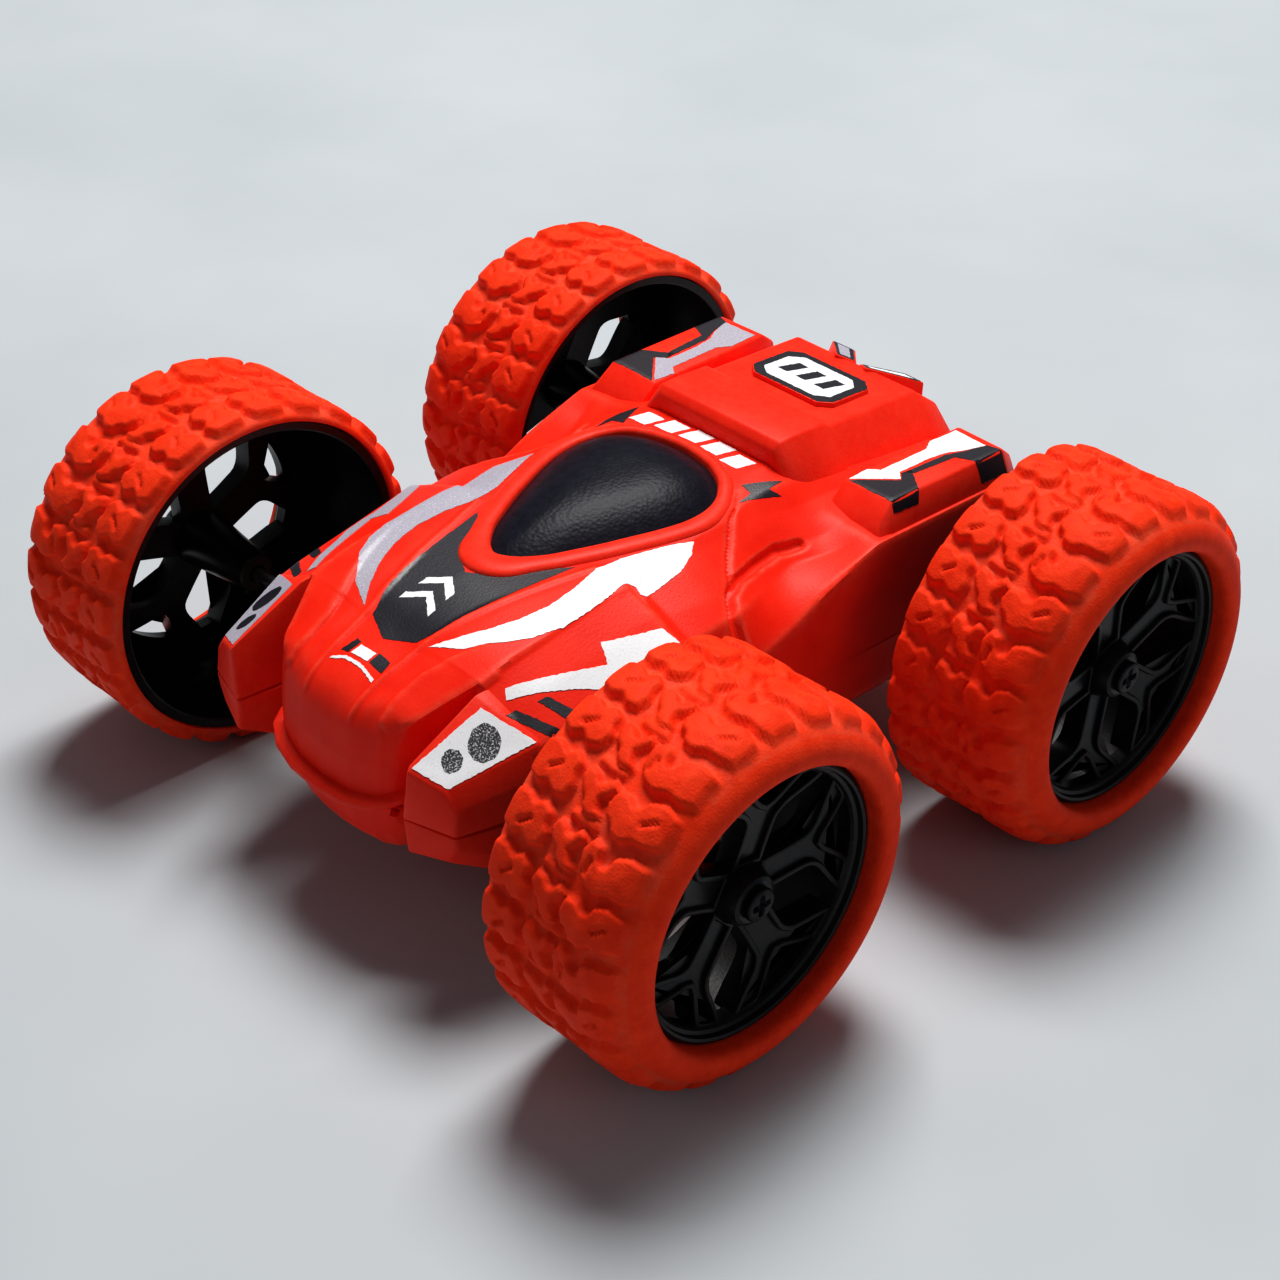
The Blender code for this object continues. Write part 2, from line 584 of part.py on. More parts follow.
def make_power(mats, root):
    for place, side in SIDES:
        rings = []
        for y, r in ((CELL_Y[0], CELL_R), (CELL_Y[1] - 1.0, CELL_R), (CELL_Y[1] - 0.9, CELL_TIP_R),
                     (CELL_Y[1], CELL_TIP_R)):
            turns = [math.tau * i / 24 for i in range(24)]
            rings.append([(side * CELL_X + r * math.cos(a), y, CELL_Z + r * math.sin(a)) for a in turns])
        make_object(f"battery_cell_{place}", skin(rings), mats["cell"], root)
    contacts = (("front", (CELL_Y[0] - 1.0, CELL_Y[0] - GAP)), ("rear", (CELL_Y[1] + GAP, CELL_Y[1] + 1.0)))
    for place, y in contacts:
        make_object(f"battery_contact_{place}", block((-12.5, 12.5), y, (18.5, 28.5)), mats["steel"], root)
    door = make_object("battery_door", block((-DOOR_HALF_X, DOOR_HALF_X), (DOOR_Y[0] + 3 + GAP, DOOR_Y[1]),
                                             (BELLY_Z, BELLY_Z + DOOR_THICK)), mats["red"], root)
    screw_y = DOOR_Y[1] - 3.2
    cut(door, rod_z(BELLY_Z - 3, BELLY_Z + 4, 1.4, 0, screw_y, 12))
    make_screw("battery_door_screw", 0, screw_y, 3.2, mats, root)
    board = make_object("circuit_board", block((-16.0, 16.0), (-40.0, 4.0), (BOARD_Z, BOARD_Z + 1.2)),
                        mats["board"], root)
    for x, y, w, d, h in ((-6, -28, 8, 8, 1.6), (6, -10, 10, 6, 2.0), (-9, -4, 5, 5, 4.0)):
        join(board, block((x - w / 2, x + w / 2), (y - d / 2, y + d / 2), (BOARD_Z + 1.0, BOARD_Z + 1.2 + h)))


def make_screw(name, x, y, length, mats, root):
    """Pan-head screw whose head sits under the belly and whose shank points up."""
    rings = []
    for z, r in ((BELLY_Z - 1.5, 1.4), (BELLY_Z - 1.1, 2.2), (BELLY_Z - GAP, 2.2), (BELLY_Z - GAP + 0.01, 1.0),
                 (BELLY_Z + length, 1.0)):
        rings.append([(x + r * math.cos(math.tau * i / 12), y + r * math.sin(math.tau * i / 12), z)
                      for i in range(12)])
    make_object(name, skin(rings), mats["steel"], root)


def make_switch(mats, root):
    """Slide switch behind the battery door, with its knob in a slot in the belly."""
    y0, y1 = SWITCH_Y - 4.5, SWITCH_Y + 4.5
    base = BELLY_Z + WALL + GAP
    body = make_object("switch_body", block((-3.0, 3.0), (y0, y1), (base, base + 5.0)), mats["steel"], root)
    half = (2.4 + SWITCH_TRAVEL) / 2 + GAP
    cut(body, block((-1.3, 1.3), (SWITCH_Y - half, SWITCH_Y + half), (base - 1, base + 2.5)))
    # at rest the knob stands at the front end of its travel
    slider = bpy.data.objects.new("switch_slide", None)
    slider.location = (0, (SWITCH_Y - SWITCH_TRAVEL / 2) * MM, BELLY_Z * MM)
    slider.parent = root
    bpy.context.collection.objects.link(slider)
    bpy.context.view_layer.update()
    centre = SWITCH_Y - SWITCH_TRAVEL / 2
    make_object("switch_knob", block((-0.95, 0.95), (centre - 1.2, centre + 1.2), (BELLY_Z - 0.8, base + 2.2)),
                mats["black"], slider)


def main():
    clear_scene()
    mats = {
        "red": make_material("red_body", (0.75, 0.035, 0.02), 0.45),
        "rubber": make_material("red_rubber", (0.62, 0.04, 0.025), 0.75),
        "hub": make_material("black_hub", (0.012, 0.014, 0.017), 0.4),
        "canopy": make_material("black_canopy", (0.01, 0.011, 0.016), 0.35),
        "black": make_material("black_inner", (0.02, 0.02, 0.02), 0.6),
        "grey": make_material("grey_plastic", (0.22, 0.22, 0.23), 0.5),
        "gear": make_material("white_nylon", (0.8, 0.79, 0.74), 0.45),
        "brass": make_material("brass", (0.75, 0.55, 0.22), 0.35, 1.0),
        "steel": make_material("steel", (0.6, 0.6, 0.62), 0.3, 1.0),
        "board": make_material("green_board", (0.02, 0.16, 0.06), 0.5),
        "cell": make_material("cell_sleeve", (0.03, 0.07, 0.25), 0.35),
    }
    root = bpy.data.objects.new("stunt_car", None)
    bpy.context.collection.objects.link(root)
    bpy.context.view_layer.update()
    make_body(mats, root)
    for end, y in (("front", -WHEEL_HALF_BASE), ("rear", WHEEL_HALF_BASE)):
        for name, side in SIDES:
            place = f"{end}_{name}"
            pivot = make_wheel(place, side, y, mats, root)
            make_bush(place, side, y, mats, root)
            if end == "rear":
                make_drive(name, side, pivot, mats, root)
    make_front_holders(mats, root)
    make_power(mats, root)
    make_switch(mats, root)
    for row, (x, y, _) in zip(("rear", "front"), SHELL_SCREWS):
        for name, side in SIDES:
            make_screw(f"shell_screw_{row}_{name}", side * x, y, 19.0, mats, root)


main()
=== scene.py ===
import math
import random

import bpy
import bmesh
import numpy as np
from mathutils import Matrix, Vector
from mathutils.bvhtree import BVHTree
from mathutils.geometry import delaunay_2d_cdt


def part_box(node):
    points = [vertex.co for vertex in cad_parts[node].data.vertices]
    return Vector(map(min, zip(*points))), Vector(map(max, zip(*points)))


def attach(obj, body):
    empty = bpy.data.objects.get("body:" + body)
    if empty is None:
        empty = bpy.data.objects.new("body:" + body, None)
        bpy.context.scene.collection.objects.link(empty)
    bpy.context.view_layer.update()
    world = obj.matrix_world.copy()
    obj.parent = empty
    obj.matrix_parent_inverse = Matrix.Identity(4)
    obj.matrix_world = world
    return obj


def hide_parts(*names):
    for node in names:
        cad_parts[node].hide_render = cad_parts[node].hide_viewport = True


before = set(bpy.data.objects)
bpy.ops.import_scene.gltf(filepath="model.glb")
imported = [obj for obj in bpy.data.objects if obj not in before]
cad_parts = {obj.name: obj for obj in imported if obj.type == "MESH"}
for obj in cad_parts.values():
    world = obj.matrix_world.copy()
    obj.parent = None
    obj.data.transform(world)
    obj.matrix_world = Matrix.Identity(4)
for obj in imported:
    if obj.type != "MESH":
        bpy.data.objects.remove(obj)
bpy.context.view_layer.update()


# ---------------------------------------------------------------- table top
# The car stands on a smooth, pale grey table top that is slightly uneven in tone. It is lit by one
# large soft lamp above and behind its right side, a weaker one from its left, and a pale room.
FLOOR_HALF = 3.0
floor_mesh = bpy.data.meshes.new("table_top")
floor_mesh.from_pydata([(-FLOOR_HALF, -FLOOR_HALF, 0), (FLOOR_HALF, -FLOOR_HALF, 0),
                        (FLOOR_HALF, FLOOR_HALF, 0), (-FLOOR_HALF, FLOOR_HALF, 0)], [], [(0, 1, 2, 3)])
floor = bpy.data.objects.new("table_top", floor_mesh)
bpy.context.collection.objects.link(floor)


def node(tree, kind, **values):
    """Adds one node; the values go on its settings, or on its input sockets where they are named so."""
    made = tree.nodes.new(kind)
    for name, value in values.items():
        key = name.replace("_", " ")
        sockets = [s for s in made.inputs if s.name.lower() == key.lower()]
        if not sockets:
            setattr(made, name, value)
        elif isinstance(value, bpy.types.NodeSocket):
            tree.links.new(value, sockets[0])
        else:
            sockets[0].default_value = value
    return made


def new_finish(name):
    """A new material with only its output and one Principled shader."""
    finish = bpy.data.materials.new(name)
    finish.use_nodes = True
    finish.node_tree.nodes.clear()
    tree = finish.node_tree
    shader = tree.nodes.new("ShaderNodeBsdfPrincipled")
    output = tree.nodes.new("ShaderNodeOutputMaterial")
    tree.links.new(shader.outputs[0], output.inputs["Surface"])
    return finish, tree, shader


def ramp(tree, fac, stops):
    """Colours that follow a value; the stops are (place, colour)."""
    made = tree.nodes.new("ShaderNodeValToRGB")
    while len(made.color_ramp.elements) < len(stops):
        made.color_ramp.elements.new(0.5)
    for element, (place, colour) in zip(made.color_ramp.elements, stops):
        element.position = place
        element.color = (*colour, 1.0)
    tree.links.new(fac, made.inputs[0])
    return made.outputs["Color"]


table_finish, tree, shader = new_finish("table_top_finish")
where = node(tree, "ShaderNodeTexCoord").outputs["Object"]
clouds = node(tree, "ShaderNodeTexNoise", vector=where, scale=9.0, detail=3.0, roughness=0.55)
tone = ramp(tree, clouds.outputs["Fac"], ((0.3, (0.435, 0.470, 0.500)), (0.7, (0.485, 0.520, 0.548))))
tree.links.new(tone, shader.inputs["Base Color"])
shader.inputs["Roughness"].default_value = 0.62
shader.inputs["Specular IOR Level"].default_value = 0.25
floor_mesh.materials.append(table_finish)

world = bpy.data.worlds.new("pale_room")
bpy.context.scene.world = world
world.use_nodes = True
world.node_tree.nodes["Background"].inputs["Color"].default_value = (0.93, 0.96, 1.0, 1.0)
world.node_tree.nodes["Background"].inputs["Strength"].default_value = 0.10
# name, place, width, power and colour
LAMPS = (
    ("key_lamp", (-0.28, 0.36, 1.22), 0.55, 19.0, (1.0, 0.985, 0.96)),
    ("front_lamp", (-0.45, -1.05, 0.75), 0.7, 0.8, (1.0, 0.99, 0.98)),
    ("side_lamp", (1.10, 0.10, 0.55), 0.6, 0.9, (0.94, 0.97, 1.0)))
for name, place, size, power, colour in LAMPS:
    lamp_data = bpy.data.lights.new(name, "AREA")
    lamp_data.size = size
    lamp_data.energy = power
    lamp_data.color = colour
    lamp = bpy.data.objects.new(name, lamp_data)
    lamp.location = place
    aim = Vector((0, 0, 0.03)) - Vector(place)
    lamp.rotation_euler = aim.to_track_quat("-Z", "Y").to_euler()
    bpy.context.collection.objects.link(lamp)
bpy.context.scene.view_settings.view_transform = "Standard"
bpy.context.scene.view_settings.look = "Medium High Contrast"

# the camera looks down on the car's front left corner
TURN = math.radians(45.2921)
TILT = math.radians(33.4411)
ROLL = math.radians(1.6786)
LENS = 70.56
# where the camera stands, in wheel radii from the middle: back, to its right and down
REACH, SIDEWAYS, DOWN = 13.3938, 0.0335, 0.2331
WHEEL_R = 0.031
back = Vector((math.sin(TURN) * math.cos(TILT), -math.cos(TURN) * math.cos(TILT), math.sin(TILT)))
level = Vector((math.cos(TURN), math.sin(TURN), 0))
upward = back.cross(level)
right = level * math.cos(ROLL) + upward * math.sin(ROLL)
above = upward * math.cos(ROLL) - level * math.sin(ROLL)
camera_data = bpy.data.cameras.new("camera")
camera_data.lens = LENS
camera_data.sensor_width = 36.0
camera_data.clip_start = 0.01
camera = bpy.data.objects.new("camera", camera_data)
camera.matrix_world = Matrix.Translation(
    Vector((0, 0, WHEEL_R)) + WHEEL_R * (REACH * back + SIDEWAYS * right - DOWN * above)
) @ Matrix((right, above, back)).transposed().to_4x4()
bpy.context.collection.objects.link(camera)
bpy.context.scene.camera = camera


# ---------------------------------------------------------------- tyres
# Each tyre is one moulding of soft red rubber, 28 mm wide, with chunky off-road lugs. The lugs are drawn
# once for a twelfth of the tyre and repeated round the axle; dust has stayed in the grooves.
MM = 0.001
PLACES = ("front_left", "front_right", "rear_left", "rear_right")
TREAD_SECTORS = 12
TREAD_R = 31.0
LUG_HEIGHT = 1.6
LUG_CROWN = 0.10
SIPE_DEPTH = 0.42
# the fine line left by the mould: (place across the tyre, rise)
MOULDING_LINE = (-0.55, 0.10)
TREAD_REACH = 12.6
PITCH = math.tau * TREAD_R / TREAD_SECTORS
COLUMNS = 40
TREAD_STEP = 0.40
WELD_DISTANCE = 2e-6
# the tyre's section at the groove floors, from its inner edge to its outer edge: (x outward, radius)
TYRE_SKIN = ((-14.1, 27.9), (-14.1, 28.6), (-13.6, 29.1), (-12.2, 29.35), (-8.0, 29.4), (5.5, 29.4),
    (8.2, 29.2), (10.2, 28.75), (11.8, 27.95), (13.1, 26.8), (13.9, 25.4), (14.1, 24.2), (13.9, 23.3),
    (13.3, 22.7), (12.4, 22.52), (9.3, 22.5))
TYRE_INSIDE = ((9.3, 27.9), (0.0, 27.9), (-9.0, 27.9))
# lugs of one sector: outlines in mm, (round the tyre, across it), and each one's share of the full height
LUGS = (
    (((0.3, 11.0), (2.4, 11.3), (5.0, 11.0), (5.7, 9.4), (5.9, 7.2), (6.9, 5.6), (6.6, 3.9), (5.3, 3.2),
        (4.9, 1.9), (3.3, 1.2), (1.4, 1.7), (1.2, 3.3), (2.2, 4.6), (1.9, 6.0), (0.4, 6.7), (-0.4, 8.6)),
        1.0),
    (((8.5, 11.2), (10.6, 11.0), (13.3, 11.3), (14.2, 9.6), (14.0, 7.4), (14.9, 5.6), (14.3, 3.4),
        (12.6, 1.9), (10.2, 1.4), (8.6, 2.3), (8.9, 3.9), (10.5, 4.0), (11.6, 4.9), (11.0, 6.2), (9.2, 6.7),
        (8.3, 8.8)), 0.98),
    (((1.2, 0.9), (2.6, 0.0), (3.4, -0.9), (4.9, -0.6), (5.8, 0.5), (6.3, -0.9), (5.7, -2.3), (4.3, -2.7),
        (3.5, -3.8), (2.0, -4.9), (0.5, -4.5), (0.8, -3.1), (1.9, -2.3), (1.7, -1.1), (0.4, -0.2)), 0.9),
    (((9.2, 0.6), (10.6, -0.4), (11.8, -1.1), (13.2, -0.4), (14.0, 0.5), (14.3, -1.2), (13.4, -2.5),
        (12.2, -2.8), (11.6, -4.1), (10.2, -4.9), (8.7, -4.3), (9.2, -3.1), (10.2, -2.4), (9.9, -1.3),
        (8.5, -0.4)), 0.92),
    (((6.6, 0.9), (7.6, 1.2), (7.7, -1.4), (7.3, -3.4), (6.6, -3.2), (6.5, -1.2)), 0.55),
    (((14.7, 0.4), (15.5, 0.3), (15.6, -2.0), (15.2, -4.4), (14.5, -4.2), (14.8, -1.9)), 0.5),
    (((0.1, -12.9), (2.9, -13.1), (5.2, -12.8), (6.0, -10.9), (5.1, -9.2), (6.2, -7.6), (5.9, -6.0),
        (4.0, -5.6), (2.4, -6.4), (0.8, -6.2), (-0.3, -7.6), (0.9, -9.3), (-0.3, -10.9)), 0.98),
    (((8.2, -12.8), (10.6, -13.1), (13.2, -12.9), (14.0, -11.0), (12.9, -9.4), (14.2, -7.7), (13.4, -5.9),
        (11.6, -5.4), (10.4, -6.2), (8.8, -6.1), (7.9, -7.8), (9.0, -9.3), (7.9, -10.9)), 1.0))
# shallow cuts in the lugs: (from, to, half width)
SIPES = (((2.2, 9.2), (3.6, 7.4), 0.24), ((11.0, 3.2), (12.9, 3.0), 0.30),
    ((10.8, -8.6), (12.1, -10.3), 0.26), ((2.2, -8.7), (3.5, -10.2), 0.24))


def outline_distance(px, py, outline):
    """Distance of points from a closed outline, negative inside it."""
    best = np.full(px.shape, 1e9)
    inside = np.zeros(px.shape, bool)
    count = len(outline)
    for i in range(count):
        (ax, ay), (bx, by) = outline[i], outline[(i + 1) % count]
        ex, ey = bx - ax, by - ay
        along = np.clip(((px - ax) * ex + (py - ay) * ey) / (ex * ex + ey * ey), 0, 1)
        best = np.minimum(best, np.hypot(px - ax - along * ex, py - ay - along * ey))
        crosses = ((ay > py) != (by > py)) & (px < (bx - ax) * (py - ay) / (by - ay + 1e-12) + ax)
        inside ^= crosses
    return np.where(inside, -best, best)


def line_distance(px, py, points):
    """Distance of points from an open line."""
    best = np.full(np.shape(px), 1e9)
    for (ax, ay), (bx, by) in zip(points, points[1:]):
        ex, ey = bx - ax, by - ay
        along = np.clip(((px - ax) * ex + (py - ay) * ey) / (ex * ex + ey * ey), 0, 1)
        best = np.minimum(best, np.hypot(px - ax - along * ex, py - ay - along * ey))
    return best


def eased(low, high, value):
    """0 below low, 1 above high, and a smooth rise between."""
    share = np.clip((value - low) / (high - low), 0, 1)
    return share * share * (3 - 2 * share)


def lug_height(round_mm, across_mm):
    """How far the rubber stands up over the groove floor, as a share of the full depth."""
    height = np.zeros(round_mm.shape)
    for outline, share in LUGS:
        for turn in (-PITCH, 0.0, PITCH):
            gap = outline_distance(round_mm - turn, across_mm, outline)
            dome = 1.0 - LUG_CROWN * eased(-2.6, -0.4, gap)
            height = np.maximum(height, share * dome * (1 - eased(-0.12, 0.62, gap)))
    for start, end, half in SIPES:
        for turn in (-PITCH, 0.0, PITCH):
            gap = line_distance(round_mm - turn, across_mm, (start, end))
            height -= SIPE_DEPTH * (1 - eased(half * 0.4, half * 1.9, gap)) * (height > 0.3)
    line_at, line_rise = MOULDING_LINE
    height += line_rise * (1 - eased(0.05, 0.35, np.abs(across_mm - line_at))) * (height < 0.4)
    return height


def resample(points, step):
    """Points along a polyline, about one step apart, keeping its corners."""
    line = []
    for (ax, ay), (bx, by) in zip(points, points[1:]):
        count = max(1, round(math.hypot(bx - ax, by - ay) / step))
        line += [(ax + (bx - ax) * i / count, ay + (by - ay) * i / count) for i in range(count)]
    return line + [points[-1]]


def rounded_line(points, passes):
    """The same line with its inner points drawn towards their neighbours."""
    line = [tuple(p) for p in points]
    for _ in range(passes):
        line = [line[0]] + [tuple((a[k] + 2 * b[k] + c[k]) / 4 for k in (0, 1))
                            for a, b, c in zip(line, line[1:], line[2:])] + [line[-1]]
    return line


section = rounded_line(resample(TYRE_SKIN, TREAD_STEP), 3)
skin_rows = len(section)
section = section + list(TYRE_INSIDE)
tread_mesh = bpy.data.meshes.new("tread_sector")
angle_step = math.tau / TREAD_SECTORS / COLUMNS
columns = np.arange(COLUMNS + 1)
points = []
relief = []
for row, (x, r) in enumerate(section):
    has_lugs = row < skin_rows and r > 27.0 and x < TREAD_REACH
    raised = np.zeros(COLUMNS + 1)
    if has_lugs:
        raised = lug_height(columns * PITCH / COLUMNS, np.full(COLUMNS + 1, x))
    fall = 1.0 if x < 9.0 else 1.0 - 0.10 * (x - 9.0)
    for column, share in zip(columns, raised):
        angle = column * angle_step
        radius = min(r + LUG_HEIGHT * fall * share, TREAD_R)
        points.append((x * MM, radius * math.cos(angle) * MM, radius * math.sin(angle) * MM))
        relief.append(float(share) if has_lugs else 0.75)
faces = []
rows = len(section)
for j in range(rows):
    for i in range(COLUMNS):
        a, b = j * (COLUMNS + 1) + i, ((j + 1) % rows) * (COLUMNS + 1) + i
        faces.append((a, a + 1, b + 1, b))
tread_mesh.from_pydata(points, [], faces)
attribute = tread_mesh.attributes.new("relief", "FLOAT", "POINT")
attribute.data.foreach_set("value", relief)
tread_sector = bpy.data.objects.new("tread_sector", tread_mesh)
bpy.context.collection.objects.link(tread_sector)


def repeat_round_axle(name, finish):
    """A node tree that copies its input mesh round the X axis and welds the copies together."""
    tree = bpy.data.node_groups.new(name, "GeometryNodeTree")
    tree.interface.new_socket("Sector", in_out="INPUT", socket_type="NodeSocketGeometry")
    tree.interface.new_socket("Copies", in_out="INPUT", socket_type="NodeSocketInt")
    tree.interface.new_socket("Start angle", in_out="INPUT", socket_type="NodeSocketFloat")
    tree.interface.new_socket("Mesh", in_out="OUTPUT", socket_type="NodeSocketGeometry")
    start = tree.nodes.new("NodeGroupInput")
    end = tree.nodes.new("NodeGroupOutput")
    line = tree.nodes.new("GeometryNodeMeshLine")
    line.mode = "OFFSET"
    line.inputs["Offset"].default_value = (0, 0, 0)
    tree.links.new(start.outputs["Copies"], line.inputs["Count"])
    index = tree.nodes.new("GeometryNodeInputIndex")
    step = node(tree, "ShaderNodeMath", operation="DIVIDE")
    step.inputs[0].default_value = math.tau
    tree.links.new(start.outputs["Copies"], step.inputs[1])
    angle = node(tree, "ShaderNodeMath", operation="MULTIPLY_ADD")
    tree.links.new(index.outputs[0], angle.inputs[0])
    tree.links.new(step.outputs[0], angle.inputs[1])
    tree.links.new(start.outputs["Start angle"], angle.inputs[2])
    turn = tree.nodes.new("ShaderNodeCombineXYZ")
    tree.links.new(angle.outputs[0], turn.inputs["X"])
    copies = tree.nodes.new("GeometryNodeInstanceOnPoints")
    tree.links.new(line.outputs[0], copies.inputs["Points"])
    tree.links.new(start.outputs["Sector"], copies.inputs["Instance"])
    tree.links.new(turn.outputs[0], copies.inputs["Rotation"])
    real = tree.nodes.new("GeometryNodeRealizeInstances")
    tree.links.new(copies.outputs[0], real.inputs[0])
    weld = tree.nodes.new("GeometryNodeMergeByDistance")
    weld.inputs["Distance"].default_value = WELD_DISTANCE
    tree.links.new(real.outputs[0], weld.inputs["Geometry"])
    paint = tree.nodes.new("GeometryNodeSetMaterial")
    paint.inputs["Material"].default_value = finish
    tree.links.new(weld.outputs[0], paint.inputs["Geometry"])
    tree.links.new(paint.outputs[0], end.inputs[0])
    return tree


def run_nodes(obj, tree, values):
    """The mesh that a node tree makes of an object, with the tree's inputs given by name."""
    modifier = obj.modifiers.new("make", "NODES")
    modifier.node_group = tree
    for item in tree.interface.items_tree:
        if item.item_type == "SOCKET" and item.in_out == "INPUT" and item.name in values:
            modifier[item.identifier] = values[item.name]
    bpy.context.view_layer.update()
    made = bpy.data.meshes.new_from_object(obj.evaluated_get(bpy.context.evaluated_depsgraph_get()))
    obj.modifiers.remove(modifier)
    return made


def place_wheel_mesh(mesh, place):
    """Moves a mesh made round the origin to a wheel, mirrored for the right side."""
    side = 1 if place.endswith("left") else -1
    low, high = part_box(f"tyre_{place}")
    middle = (Vector(low) + Vector(high)) / 2
    mesh.transform(Matrix.Translation(middle) @ Matrix.Diagonal((side, 1, 1, 1)))
    if side < 0:
        mesh.flip_normals()
    return mesh


def add_piece(name, mesh, body, *cad_nodes, slot=None):
    """Links a finished mesh as a piece that rides on a body and stands for CAD nodes."""
    piece = bpy.data.objects.new(name, mesh)
    bpy.context.collection.objects.link(piece)
    for polygon in mesh.polygons:
        polygon.use_smooth = True
    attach(piece, body)
    if cad_nodes:
        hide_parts(*cad_nodes)
    return piece


def shader_group(name, inputs, output_names):
    """An empty shader group of float sockets: the group, its input node and its output node."""
    group = bpy.data.node_groups.new(name, "ShaderNodeTree")
    for socket in inputs:
        group.interface.new_socket(socket, in_out="INPUT", socket_type="NodeSocketFloat")
    for socket in output_names:
        group.interface.new_socket(socket, in_out="OUTPUT", socket_type="NodeSocketFloat")
    return group, group.nodes.new("NodeGroupInput"), group.nodes.new("NodeGroupOutput")


# fine texture of moulded plastic and rubber: a height for the bump and a mask for the gloss
grain, grain_in, grain_out = shader_group("moulded_grain", ("Fine scale", "Coarse scale"),
                                          ("Height", "Patches"))
where = node(grain, "ShaderNodeTexCoord").outputs["Object"]
fine = node(grain, "ShaderNodeTexNoise", vector=where, scale=grain_in.outputs["Fine scale"], detail=2.0)
coarse = node(grain, "ShaderNodeTexNoise", vector=where, scale=grain_in.outputs["Coarse scale"], detail=4.0)
both = node(grain, "ShaderNodeMath", operation="MULTIPLY_ADD")
grain.links.new(coarse.outputs["Fac"], both.inputs[0])
both.inputs[1].default_value = 0.6
grain.links.new(fine.outputs["Fac"], both.inputs[2])
grain.links.new(both.outputs[0], grain_out.inputs["Height"])
grain.links.new(coarse.outputs["Fac"], grain_out.inputs["Patches"])

# dust that lies in speckles and smears: a mask from 0 to 1
dust, dust_in, dust_out = shader_group("dust", ("Scale", "Cover", "Where"), ("Mask",))
where = node(dust, "ShaderNodeTexCoord").outputs["Object"]
specks = node(dust, "ShaderNodeTexNoise", vector=where, scale=dust_in.outputs["Scale"], detail=6.0,
              roughness=0.7)
broad = node(dust, "ShaderNodeTexNoise", vector=where, scale=90.0, detail=3.0)
mixed = node(dust, "ShaderNodeMath", operation="MULTIPLY")
dust.links.new(specks.outputs["Fac"], mixed.inputs[0])
dust.links.new(broad.outputs["Fac"], mixed.inputs[1])
lifted = node(dust, "ShaderNodeMapRange", clamp=True, value=mixed.outputs[0], from_min=0.18, from_max=0.40)
share = node(dust, "ShaderNodeMath", operation="MULTIPLY")
dust.links.new(lifted.outputs["Result"], share.inputs[0])
dust.links.new(dust_in.outputs["Cover"], share.inputs[1])
placed = node(dust, "ShaderNodeMath", operation="MULTIPLY", use_clamp=True)
dust.links.new(share.outputs[0], placed.inputs[0])
dust.links.new(dust_in.outputs["Where"], placed.inputs[1])
dust.links.new(placed.outputs[0], dust_out.inputs["Mask"])


def use_group(tree, group, **values):
    """Places a shader node group and sets its inputs."""
    made = tree.nodes.new("ShaderNodeGroup")
    made.node_tree = group
    for name, value in values.items():
        socket = made.inputs[name.replace("_", " ").capitalize()]
        if isinstance(value, bpy.types.NodeSocket):
            tree.links.new(value, socket)
        else:
            socket.default_value = value
    return made


def blend_colour(tree, mask, first, second):
    """Mixes two colours, each a value or a socket, by a mask."""
    made = tree.nodes.new("ShaderNodeMix")
    made.data_type = "RGBA"
    tree.links.new(mask, made.inputs["Factor"])
    for socket, colour in (("A", first), ("B", second)):
        target = [s for s in made.inputs if s.name == socket and s.type == "RGBA"][0]
        if isinstance(colour, bpy.types.NodeSocket):
            tree.links.new(colour, target)
        else:
            target.default_value = (*colour, 1.0)
    return [s for s in made.outputs if s.type == "RGBA"][0]


def add_bump(tree, shader, height, strength, distance):
    """Bumps the surface by a height; the distance is in metres."""
    made = node(tree, "ShaderNodeBump", height=height, strength=strength, distance=distance)
    tree.links.new(made.outputs[0], shader.inputs["Normal"])


def vary_roughness(tree, shader, patches, from_value, to_value):
    """Lets the roughness drift between two values with a mask."""
    made = node(tree, "ShaderNodeMapRange", clamp=True, value=patches, to_min=from_value, to_max=to_value)
    tree.links.new(made.outputs["Result"], shader.inputs["Roughness"])


rubber, tree, shader = new_finish("red_rubber")
relief_value = node(tree, "ShaderNodeAttribute", attribute_name="relief").outputs["Fac"]
texture = use_group(tree, grain, Fine_scale=2600.0, Coarse_scale=420.0)
lug_tone = ramp(tree, texture.outputs["Patches"], ((0.32, (0.84, 0.040, 0.009)),
                                                   (0.68, (0.95, 0.058, 0.014))))
in_groove = node(tree, "ShaderNodeMapRange", clamp=True, value=relief_value, from_min=0.55, from_max=0.05)
dirt = use_group(tree, dust, Scale=900.0, Cover=0.34, Where=in_groove.outputs["Result"])
dusty = blend_colour(tree, dirt.outputs["Mask"], lug_tone, (0.68, 0.17, 0.10))
film = use_group(tree, dust, Scale=350.0, Cover=0.025, Where=1.0)
tree.links.new(blend_colour(tree, film.outputs["Mask"], dusty, (0.74, 0.24, 0.16)),
               shader.inputs["Base Color"])
vary_roughness(tree, shader, texture.outputs["Patches"], 0.46, 0.66)
shader.inputs["Specular IOR Level"].default_value = 0.07
add_bump(tree, shader, texture.outputs["Height"], 0.35, 0.00025)

tread_tree = repeat_round_axle("tread_round_axle", rubber)
TREAD_TURN = {"front_left": 0.10, "front_right": 0.31, "rear_left": 0.22, "rear_right": 0.40}
for place in PLACES:
    mesh = run_nodes(tread_sector, tread_tree, {"Copies": TREAD_SECTORS, "Start angle": TREAD_TURN[place]})
    add_piece(f"tyre_tread_{place}", place_wheel_mesh(mesh, place), f"wheel_{place}", f"tyre_{place}",
              slot="tyre_red")
bpy.data.objects.remove(tread_sector)


